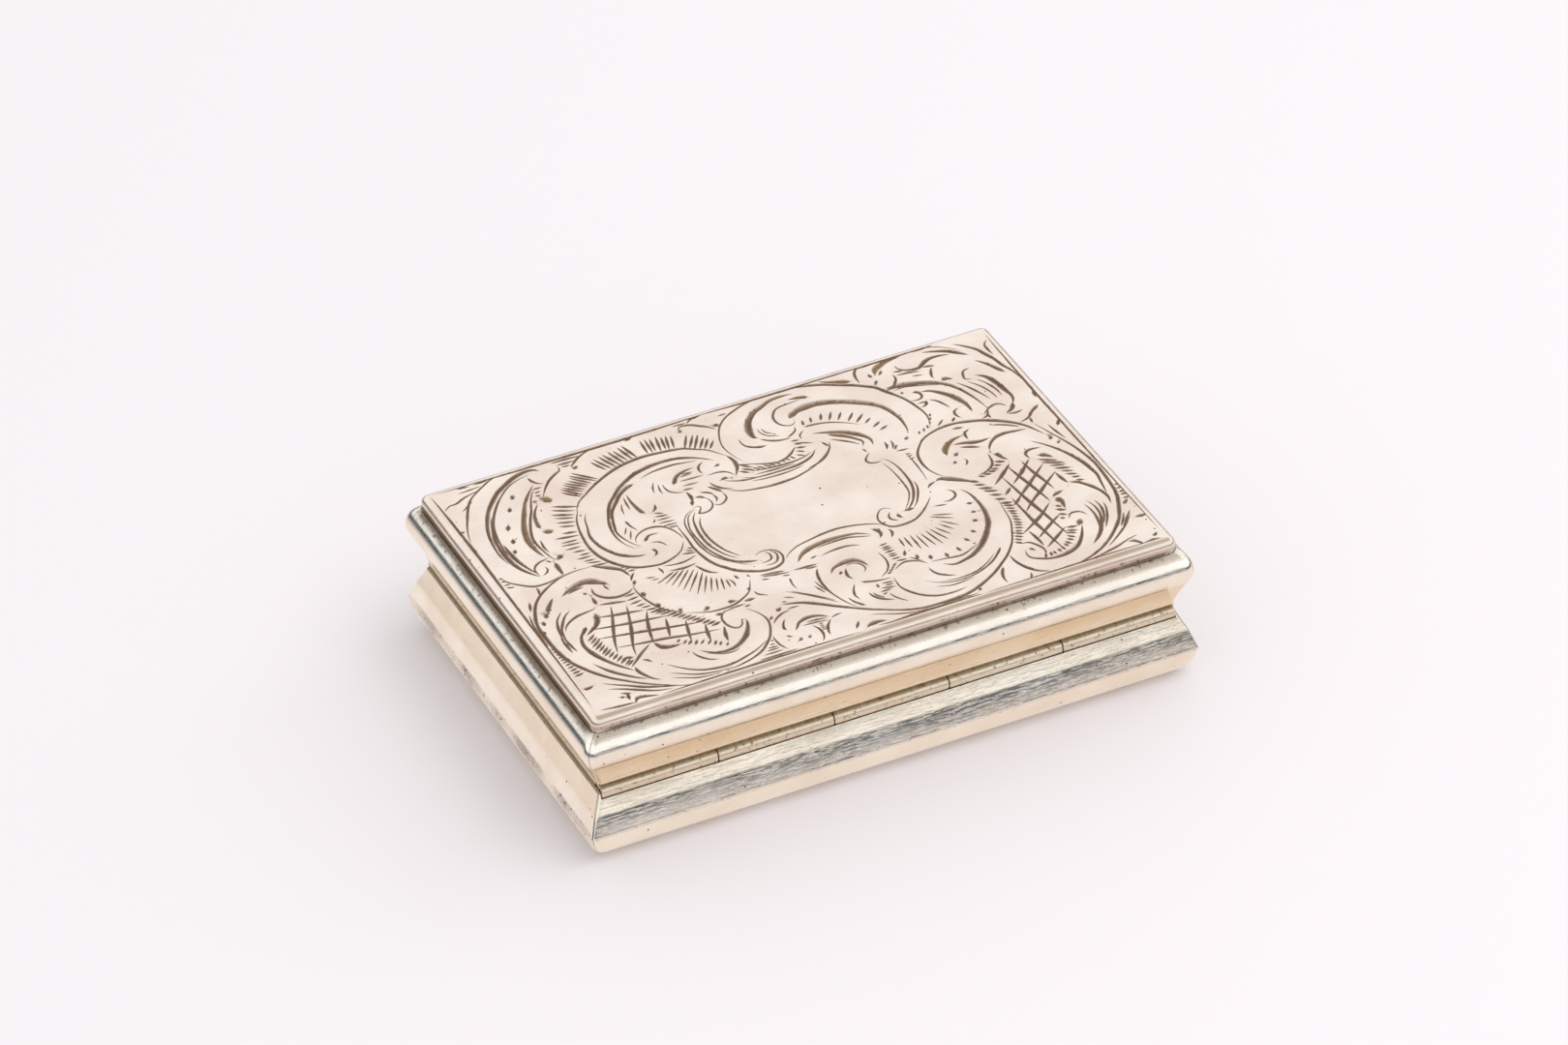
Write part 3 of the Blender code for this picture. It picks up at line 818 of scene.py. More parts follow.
def smooth_path(points: Sequence[Vector], spacing: float) -> list[Vector]:
    """Runs a smooth curve through points and samples it evenly.

    Args:
        points: Two or more points.
        spacing: The distance between samples.

    Returns:
        The samples, both ends included.
    """
    padded = [points[0] * 2 - points[1], *points, points[-1] * 2 - points[-2]]
    dense = [points[0]]
    for before, start, end, after in zip(padded, padded[1:], padded[2:], padded[3:]):
        bend = 2 * before - 5 * start + 4 * end - after
        twist = 3 * start - before - 3 * end + after
        for step in range(1, 13):
            t = step / 12
            dense.append(0.5 * (2 * start + (end - before) * t + bend * t * t + twist * t * t * t))
    lengths = [0.0]
    for start, end in zip(dense, dense[1:]):
        lengths.append(lengths[-1] + (end - start).length)
    count = max(3, math.ceil(lengths[-1] / spacing))
    samples, place = [], 0
    for step in range(count + 1):
        want = lengths[-1] * step / count
        while place < len(dense) - 2 and lengths[place + 1] < want:
            place += 1
        gap = lengths[place + 1] - lengths[place] or 1.0
        samples.append(dense[place].lerp(dense[place + 1], (want - lengths[place]) / gap))
    return samples


EDGE_LINES = (
    Cut(0.17, (0.68, 1.4, 0.69, 3, 0.65, 5, 0.62, 8.2, 0.61, 11, 0.68, 13, 0.75, 15, 0.82, 16.7, 0.82,
        17.8, 0.8, 20.1, 0.75, 21.4, 0.7, 22.8, 0.65, 24.1), 0.75),
    Cut(0.14, (1, 1, 2, 0.85, 3.1, 0.75)),
    Cut(0.22, (3.05, 0.7, 3.35, 1.1, 4.5, 0.75), 0.3),
    Cut(0.14, (4.5, 0.7, 6, 0.75, 6.7, 0.7, 9.2, 0.7, 13.2, 0.68, 14.3, 0.7, 17, 0.65)),
    Cut(0.18, (18, 0.85, 19, 0.7, 20, 0.62, 22, 0.66, 24.4, 0.72)),
    Cut(0.09, (24.5, 0.6, 26.3, 0.5, 28, 0.42, 32, 0.32, 35.8, 0.3)),
    Cut(0.12, (36.1, 1.3, 36.2, 3, 36.25, 4.5, 36.2, 6, 36.12, 10, 36.15, 13, 36.25, 14.3, 36.15, 16.7,
        36.14, 21.9, 36.1, 23.8), 0.7),
    Cut(0.17, (1.06, 24.6, 1.93, 24.7, 3.3, 24.74, 7.4, 24.68, 10.3, 24.6, 12.1, 24.5, 14, 24.43, 16.7,
        24.5, 17.6, 24.64, 18.5, 24.7), 0.6),
    Cut(0.13, (17.4, 24.68, 20, 24.7, 25, 24.74, 31, 24.7), 0.3),
    Cut(0.14, (31, 24.65, 31.9, 24.5, 32.8, 24.3)),
    Cut(0.16, (0.84, 20.05, 1.1, 20.05)),
)

LEFT_LATTICE = (
    Cut(0.22, (6.8, 0.75, 6.2, 0.85, 5.5, 1.2, 4.8, 1.65, 4, 2.25, 3.3, 2.9, 2.7, 3.5, 2.1, 4.35, 1.75,
        5, 1.5, 5.5, 1.25, 6.3, 1.1, 7.3, 1.05, 8.8, 1.1, 9.8, 1.35, 10.7, 1.75, 11.6, 2.3, 12.3, 3,
        12.85, 3.7, 13.25, 4.4, 13.5, 5.2, 13.6, 6, 13.55)),
    Cut(0.275, (6.1, 13.55, 6.7, 13.15, 7.2, 12.75, 7.5, 12.4, 7.65, 11.7), 0.4),
    Cut(0.275, (3.2, 8.3, 2.8, 7.6, 2.65, 7, 2.7, 6.4, 2.9, 5.7, 3.15, 5.1, 3.5, 4.45, 3.9, 3.85, 4.2,
        3.45)),
    Cut(0.198, (4.35, 3.75, 4.35, 3.3, 4.55, 2.75, 4.8, 2.3, 5.15, 2), 0.2),
    Cut(0.176, (4.15, 3.8, 4.6, 4.2, 5.2, 4.75, 5.95, 5.3)),
    Cut(0.145, (4, 4, 4.6, 4.45)),
    TickRow(12, 0.16, (2.95, 7.1, 3.05, 6.2, 3.4, 5.1, 3.9, 4.1), (3.65, 7.65, 3.75, 6.6, 3.95, 5.6,
        4.5, 4.6)),
    Cut(0.176, (3.6, 8.05, 4.8, 7.8, 6.5, 7.5, 8, 7.25)),
    Cut(0.187, (3.5, 7.1, 5, 6.8, 7, 6.35, 8.5, 6, 9.6, 5.8)),
    Cut(0.176, (4.2, 5.85, 5.5, 5.6, 7, 5.35, 8.2, 5.05, 9.2, 4.85, 10, 4.7)),
    Cut(0.203, (4.4, 8.95, 5.2, 8.75, 6.2, 8.55, 7, 8.35)),
    Cut(0.174, (4.9, 10, 5.6, 9.85, 6.5, 9.6)),
    Cut(0.189, (5.5, 9.6, 5.2, 8.7, 5, 8.2, 4.6, 7.2, 4.25, 6.2, 4.05, 5.4)),
    Cut(0.189, (6.3, 9.2, 6, 8.2, 5.6, 7, 5.1, 5.7, 4.85, 4.7)),
    Cut(0.189, (7.1, 8.2, 6.8, 7.5, 6.45, 6.4, 6.2, 5.3)),
    Cut(0.189, (7.75, 7.1, 7.5, 6.2, 7.25, 5.4)),
    Cut(0.189, (8.65, 6.4, 8.35, 5.3, 8.15, 4.5)),
    Cut(0.189, (9.5, 5.6, 9.3, 4.9, 9.1, 3.9)),
    Cut(0.189, (10.35, 4.9, 10.1, 4.2, 9.95, 3.45)),
    TickRow(13, 0.16, (7.2, 7.95, 9.7, 5.2), (8.1, 8.05, 10.35, 5.35)),
    TickRow(9, 0.145, (7.35, 4.7, 7.75, 4.25, 8.6, 3.8, 9.7, 3.1), (7.65, 4.95, 8.2, 4.55, 9, 4.2, 9.9,
        3.4)),
    Cut(0.33, (6.2, 5.3, 6.5, 4.7, 7.1, 4.5, 7.5, 4.5), 0.4),
    Cut(0.131, (4.95, 4.15, 5.2, 4.05, 5.4, 3.7)),
    Cut(0.217, (4.1, 4.8, 4.7, 4.6)),
    Cut(0.203, (2.4, 5.1, 2.7, 4.5, 3, 4, 3.4, 3.5, 4, 2.85, 4.55, 2.4)),
    Cut(0.145, (2.1, 3.2, 2.7, 2.75, 3.3, 2.35, 4, 1.85, 5, 1.35, 6, 0.95)),
    Cut(0.145, (2.2, 2.55, 2.9, 2.2, 3.6, 1.75, 4.5, 1.2, 5.4, 0.95)),
    Cut(0.116, (2.6, 1.9, 3.2, 1.6)),
    Cut(0.203, (2.85, 1.1, 2.9, 1.45, 3, 1.8)),
    Cut(0.174, (2.4, 1.6, 2.75, 1.45)),
    Cut(0.22, (0.95, 3.25, 1.2, 3.15, 1.6, 3.25), 0.3),
    TickRow(11, 0.145, (0.85, 7.4, 1, 4.5), (1.05, 7.4, 1.6, 4.6)),
    Cut(0.145, (1.78, 8.2, 1.8, 7.2, 1.82, 6.55)),
    Cut(0.145, (1.95, 8.2, 2, 7.3, 2.1, 6.55)),
    Cut(0.131, (0.85, 7.7, 0.85, 9.2, 0.95, 10.2, 1.1, 11)),
    Cut(0.145, (1.3, 11.2, 1.6, 12.1)),
    Cut(0.176, (1.2, 8.95, 1.2, 9.15)),
    Cut(0.275, (1.48, 9.7, 1.52, 9.95)),
    Cut(0.33, (1.87, 10.3, 1.95, 10.6)),
    Cut(0.33, (2.15, 10.7, 2.3, 11.05, 2.6, 11.45, 2.9, 11.8), 0.1),
    Cut(0.462, (3.5, 11.75, 4.1, 12.15, 5, 12.4, 5.6, 12.2, 6.25, 11.55), 0.65, -0.5),
    Cut(0.174, (3.8, 11.75, 4.3, 11.95, 4.9, 12)),
    Cut(0.174, (4.6, 11.45, 4.8, 11.25)),
    Cut(0.198, (5.25, 11.7, 5.15, 11.2, 5.35, 10.7, 5.75, 10.35, 6.3, 10.2, 6.9, 10.3, 7.3, 10.55)),
    Cut(0.116, (5.95, 11.7, 6, 11.3, 6.1, 11)),
    Cut(0.22, (4.9, 10.9, 4.9, 10.5, 4.85, 10.1), 0.7),
    Cut(0.145, (4.75, 9.95, 4.5, 9.78, 4, 9.7, 3.4, 9.6, 2.9, 9.35, 2.5, 9, 2.3, 8.6)),
    Cut(0.145, (3.3, 10.3, 2.8, 9.9, 2.4, 9.3, 2.1, 8.7, 2, 8, 1.95, 7.7)),
    Cut(0.145, (2.8, 10.4, 2.3, 9.8, 2.05, 9.1, 1.9, 8.3, 1.8, 7.7)),
    Cut(0.33, (4.4, 9.3, 4.38, 9.05, 4.25, 8.65, 4, 8.3, 3.6, 8, 3.2, 7.7), 0.08),
    Cut(0.22, (3.45, 8.45, 3.1, 8, 2.85, 7.7), 0.15),
)

LOWER_SCROLLS = (
    Cut(0.15, (6, 3.15, 6.35, 2.7, 6.9, 2.15, 7.5, 1.75, 8.1, 1.55, 8.8, 1.45, 9.5, 1.5, 10.2, 1.7, 11,
        2, 11.9, 2.55)),
    Cut(0.1, (5.8, 2.3, 6.3, 2, 6.9, 1.6, 7.5, 1.35, 8.3, 1.2, 9.2, 1.2)),
    Cut(0.08, (5.7, 1.9, 6.4, 1.5, 7, 1.2, 7.8, 1.05, 8.6, 1.05)),
    Cut(0.14, (8.5, 1.05, 9.5, 1.12, 10.5, 1.4, 11.2, 1.75, 11.7, 2.2, 12.2, 2.8, 12.55, 3.5, 12.72,
        4.1, 12.7, 4.6, 12.5, 5.2, 12.1, 5.8)),
    Cut(0.14, (7.75, 3.55, 7.8, 3.2, 8, 2.8, 8.35, 2.4, 8.8, 2.2)),
    Cut(0.3, (8.2, 3.4, 8.6, 3, 9.1, 2.75, 9.6, 2.7, 10.2, 2.85, 10.8, 3.25, 11.25, 3.75, 11.55, 4.3,
        11.7, 4.8), 0.7, 0.3),
    Cut(0.12, (11.75, 4.7, 11.5, 5, 11.35, 4.6, 11.15, 4.4, 10.9, 4.35, 10.65, 4.6, 10.5, 5, 10.5, 5.5,
        10.65, 5.85, 11, 6.1, 11.6, 6.05)),
    Cut(0.08, (8.4, 3, 9.2, 2.55, 9.8, 2.45, 10.3, 2.6)),
    Cut(0.12, (9, 7, 9.8, 6.6, 10.5, 6.4, 11.5, 6.4, 12.1, 6.6, 12.7, 6.95, 13.05, 7.3, 13.3, 7.8, 13.5,
        8.2)),
    Cut(0.28, (8.75, 7.3, 8.85, 7.5)),
    Cut(0.28, (10.12, 6.8, 10.3, 6.9)),
    Cut(0.28, (11.55, 6.8, 11.75, 6.8)),
    Cut(0.28, (13, 7.3, 13.1, 7.5)),
    Cut(0.1, (13.2, 7.1, 13.3, 6.7, 13.8, 6.3)),
    Cut(0.12, (11.2, 6.2, 12.3, 6.2)),
    Cut(0.12, (12.1, 5.95, 12.5, 6)),
    Cut(0.2, (12.3, 6.45, 13, 6.45)),
    Cut(0.25, (10.35, 6, 10.8, 6)),
    Cut(0.25, (13.5, 4.7, 13.9, 4.95), 0.3),
    Cut(0.2, (14, 5.15, 14.6, 5, 15.2, 4.75, 15.9, 4.25, 16.6, 3.65, 17.3, 3.1, 17.9, 2.65, 18.4, 2.3,
        19, 1.95, 20, 1.35, 20.8, 1.05), 0.2),
    Cut(0.08, (14.7, 6.2, 15.3, 5.7, 16, 5, 16.6, 4.3, 17, 3.8)),
    Cut(0.08, (14.4, 5.75, 15, 5.4)),
    Cut(0.08, (14.1, 5.4, 14.45, 5.25)),
    Cut(0.08, (15, 6.1, 15.5, 5.6, 16.2, 4.9, 16.9, 4.1)),
    Cut(0.08, (14.1, 4.65, 14.9, 4.6)),
    Cut(0.08, (16.4, 5.9, 16.6, 5.3, 16.7, 5)),
    Cut(0.08, (16.6, 6.3, 16.75, 5.5, 16.9, 5)),
    Cut(0.13, (17.3, 7.35, 17.1, 7, 16.95, 6.4, 16.9, 5.8, 16.95, 5, 17.15, 4.2, 17.45, 3.4, 17.8, 2.9),
        0.1),
    Cut(0.12, (14, 7.85, 14.5, 7.7)),
    Cut(0.12, (14.1, 8.1, 15, 7.9, 15.8, 7.75)),
    Cut(0.1, (15.2, 7.62, 15.7, 7.5)),
    Cut(0.1, (15.5, 7.25, 15.4, 6.6, 15.45, 6.1), 0.1),
    Cut(0.14, (16, 7.8, 17, 7.75, 17.5, 7.7)),
    Cut(0.1, (16.6, 7.6, 17.4, 7.5)),
    Cut(0.12, (12.85, 3.7, 13.2, 4.1, 13.7, 4.4, 14.3, 4.5)),
    Cut(0.2, (12.9, 4.25, 13.05, 4.35)),
    Cut(0.14, (13.6, 3.85, 13.35, 3.5, 13.2, 3.1, 13.25, 2.85), 0.9),
    Cut(0.12, (13, 2.4, 13.2, 2.2, 13.35, 2.15)),
    Cut(0.25, (13.7, 2.6, 13.95, 2.9, 14.2, 3.2, 14.8, 3.38, 15.4, 3.25, 15.9, 2.9), 0.5),
    Cut(0.12, (14.5, 3, 15.2, 2.95, 15.8, 2.82)),
    Cut(0.1, (14.2, 2.8, 15, 2.75, 15.8, 2.6)),
    Cut(0.12, (14.7, 2.6, 14.9, 2.2, 14.95, 1.7, 14.8, 1.2, 14.6, 0.98)),
    Cut(0.15, (15.9, 2.65, 15.5, 2.2, 15.3, 1.7, 15.25, 1.3)),
    Cut(0.08, (15.9, 2.7, 16.3, 2.85, 16.7, 2.85)),
    TickRow(4, 0.09, (15.02, 2.5, 15, 1.95), (15.4, 2.5, 15.3, 1.95)),
    Cut(0.2, (13.7, 1.85, 13.6, 1.7, 13.4, 1.6), 0.2),
    Cut(0.2, (14.1, 1.65, 14.2, 1.75)),
    Cut(0.1, (12.35, 2.75, 12.3, 2.3, 12.35, 1.8, 12.45, 1.5, 12.6, 1.2)),
    TickRow(5, 0.1, (12, 2.35, 11.7, 1.9, 11.1, 1.3), (12.25, 2.35, 12.2, 1.9, 12.4, 1.3)),
    Cut(0.12, (10.7, 1.02, 11.5, 0.98, 13.1, 0.98)),
    Cut(0.15, (17.2, 1.75, 16.95, 1.4, 16.75, 1.1)),
    Cut(0.28, (17.35, 0.95, 17.6, 1.12, 18.1, 1.17, 18.6, 1.05), 0.4),
)

MIDDLE_SCROLLS = (
    Cut(0.3, (17.75, 6.5, 18, 6.85, 18.4, 7.05, 19, 7.15, 19.5, 7.05, 19.8, 6.7, 19.95, 6.2), 0.5,
        -0.4),
    Cut(0.08, (18.8, 6.75, 19.1, 6.85, 19.5, 6.7, 19.7, 6.3, 19.65, 5.95, 19.4, 5.75)),
    Cut(0.15, (18.7, 6.6, 18.55, 6.2, 18.5, 5.8, 18.65, 5.45)),
    Cut(0.2, (18.2, 6.25, 18.3, 6.35)),
    Cut(0.1, (20.95, 7.1, 21.05, 6.6, 21.05, 6.1, 20.9, 5.6, 20.6, 5.2, 20.1, 4.85)),
    TickRow(7, 0.12, (21.25, 7.6, 21.3, 6.1), (21.85, 7.65, 21.95, 6.1)),
    Cut(0.12, (21.5, 5.85, 22.2, 5.75)),
    TickRow(4, 0.11, (21.1, 5.5, 20.5, 4.95), (21.5, 5.7, 20.9, 5.05)),
    Cut(0.2, (22.15, 6.05, 22.4, 6.6), 0.3),
    Cut(0.12, (21.1, 5.1, 21.4, 5.35, 21.9, 5.55, 22.4, 5.4, 22.8, 5.1, 23, 4.75)),
    Cut(0.09, (22.3, 5.85, 22.6, 5.5, 22.85, 5.15)),
    Cut(0.22, (22.7, 5.45, 22.8, 5.9)),
    Cut(0.22, (23.35, 5.05, 23.45, 5.5)),
    Cut(0.22, (24.3, 4.75, 24.3, 5.25)),
    Cut(0.22, (25.2, 4.95, 25.1, 5.45)),
    Cut(0.22, (26.05, 5.6, 25.85, 6)),
    Cut(0.22, (26.75, 6.2, 26.5, 6.5)),
    Cut(0.22, (27.35, 7.15, 27.05, 7.35)),
    Cut(0.22, (27.65, 8, 27.3, 8.1)),
    Cut(0.22, (27.85, 8.85, 27.45, 8.95)),
    TickRow(10, 0.09, (22.6, 7.75, 23.5, 7.7, 24.5, 7.65, 25.4, 8.15), (22.55, 6.9, 23.8, 6, 25.2, 6.5,
        26.2, 7.3)),
    Cut(0.09, (25, 8.8, 26.3, 8)),
    Cut(0.09, (25.2, 8.9, 26.4, 8.4)),
    Cut(0.09, (25.7, 9.6, 26.5, 9.4)),
    Cut(0.35, (27.8, 10.35, 28.05, 9.8, 28.15, 9.1, 28.15, 8.3, 28.05, 7.6, 27.8, 6.8, 27.4, 6.1, 26.8,
        5.35, 26.2, 4.75, 25.5, 4.3, 24.9, 4.1, 24.3, 4, 23.8, 4.3), 0.6, -0.2),
    Cut(0.1, (23.2, 4.85, 24, 4.75, 25, 4.6, 25.7, 4.85, 26.4, 5.2)),
    Cut(0.15, (22.85, 4.4, 22.9, 4, 23.1, 3.6, 23.5, 3.25, 23.9, 3.05)),
    Cut(0.11, (22.1, 3.4, 22.6, 2.95, 23.3, 2.6, 24.2, 2.5, 25.2, 2.7, 26.2, 3.2, 26.9, 3.8, 27.3,
        4.25), 0.95),
    Cut(0.08, (22.9, 2.9, 23.8, 2.7, 25, 2.8, 26, 3.3, 26.8, 3.95)),
    Cut(0.07, (22.4, 2.6, 23.2, 2.3, 24, 2.3, 24.8, 2.4)),
    Cut(0.15, (20.7, 4.5, 20.65, 4, 20.65, 3.5, 20.9, 2.9, 21.3, 2.35, 21.8, 1.95, 22.4, 1.7, 23.2,
        1.65, 24, 1.75)),
    Cut(0.15, (18.9, 5, 19.2, 4.85, 19.8, 4.65, 20.6, 4.55), 0.1),
    Cut(0.14, (19.6, 4.4, 19.55, 4)),
    Cut(0.12, (19.8, 4.3, 20.6, 4.2)),
    Cut(0.12, (19.9, 4.05, 20.5, 4)),
    Cut(0.12, (19.6, 3.9, 20.5, 3.7)),
    Cut(0.12, (19.4, 3.6, 20.2, 3.6)),
    Cut(0.12, (19.45, 3.3, 19.8, 3.4)),
    Cut(0.15, (18.85, 3.9, 18.9, 3.5, 19.15, 3.1, 19.5, 2.8, 19.85, 2.6)),
    Cut(0.1, (19.05, 3.8, 19.15, 3.4, 19.5, 3)),
    Cut(0.1, (19.85, 3.3, 19.95, 2.9, 20.2, 2.45, 20.5, 2.1)),
    Cut(0.11, (18.5, 5, 18.2, 4.5, 18.05, 4, 18.15, 3.5)),
    Cut(0.16, (17.6, 4, 17.75, 3.5, 18, 3.1, 18.2, 2.85), 0.9),
    Cut(0.18, (18, 2.55, 18.8, 2.05, 19.6, 1.6, 20.3, 1.3, 21, 1.12, 21.8, 1.07, 22.8, 1.07, 23.6, 1.15,
        24.4, 1.4, 25.2, 1.8, 26, 2.3, 26.8, 2.95, 27.4, 3.5, 28.1, 4.4, 28.6, 5.4, 28.95, 6.3, 29.1,
        7.3, 29.2, 8.2), 0.35),
    Cut(0.08, (18, 1.95, 18.6, 1.7, 19.5, 1.25, 20.5, 0.97, 21.5, 0.95)),
    Cut(0.08, (22, 0.95, 24.3, 0.9)),
    Cut(0.2, (24.6, 1.35, 24.4, 1.05), 0.2),
    Cut(0.18, (26.6, 2.5, 26.3, 2, 26.15, 1.5, 26.15, 1), 0.2),
    Cut(0.1, (27.7, 1.3, 27.65, 1, 27.4, 0.7)),
)

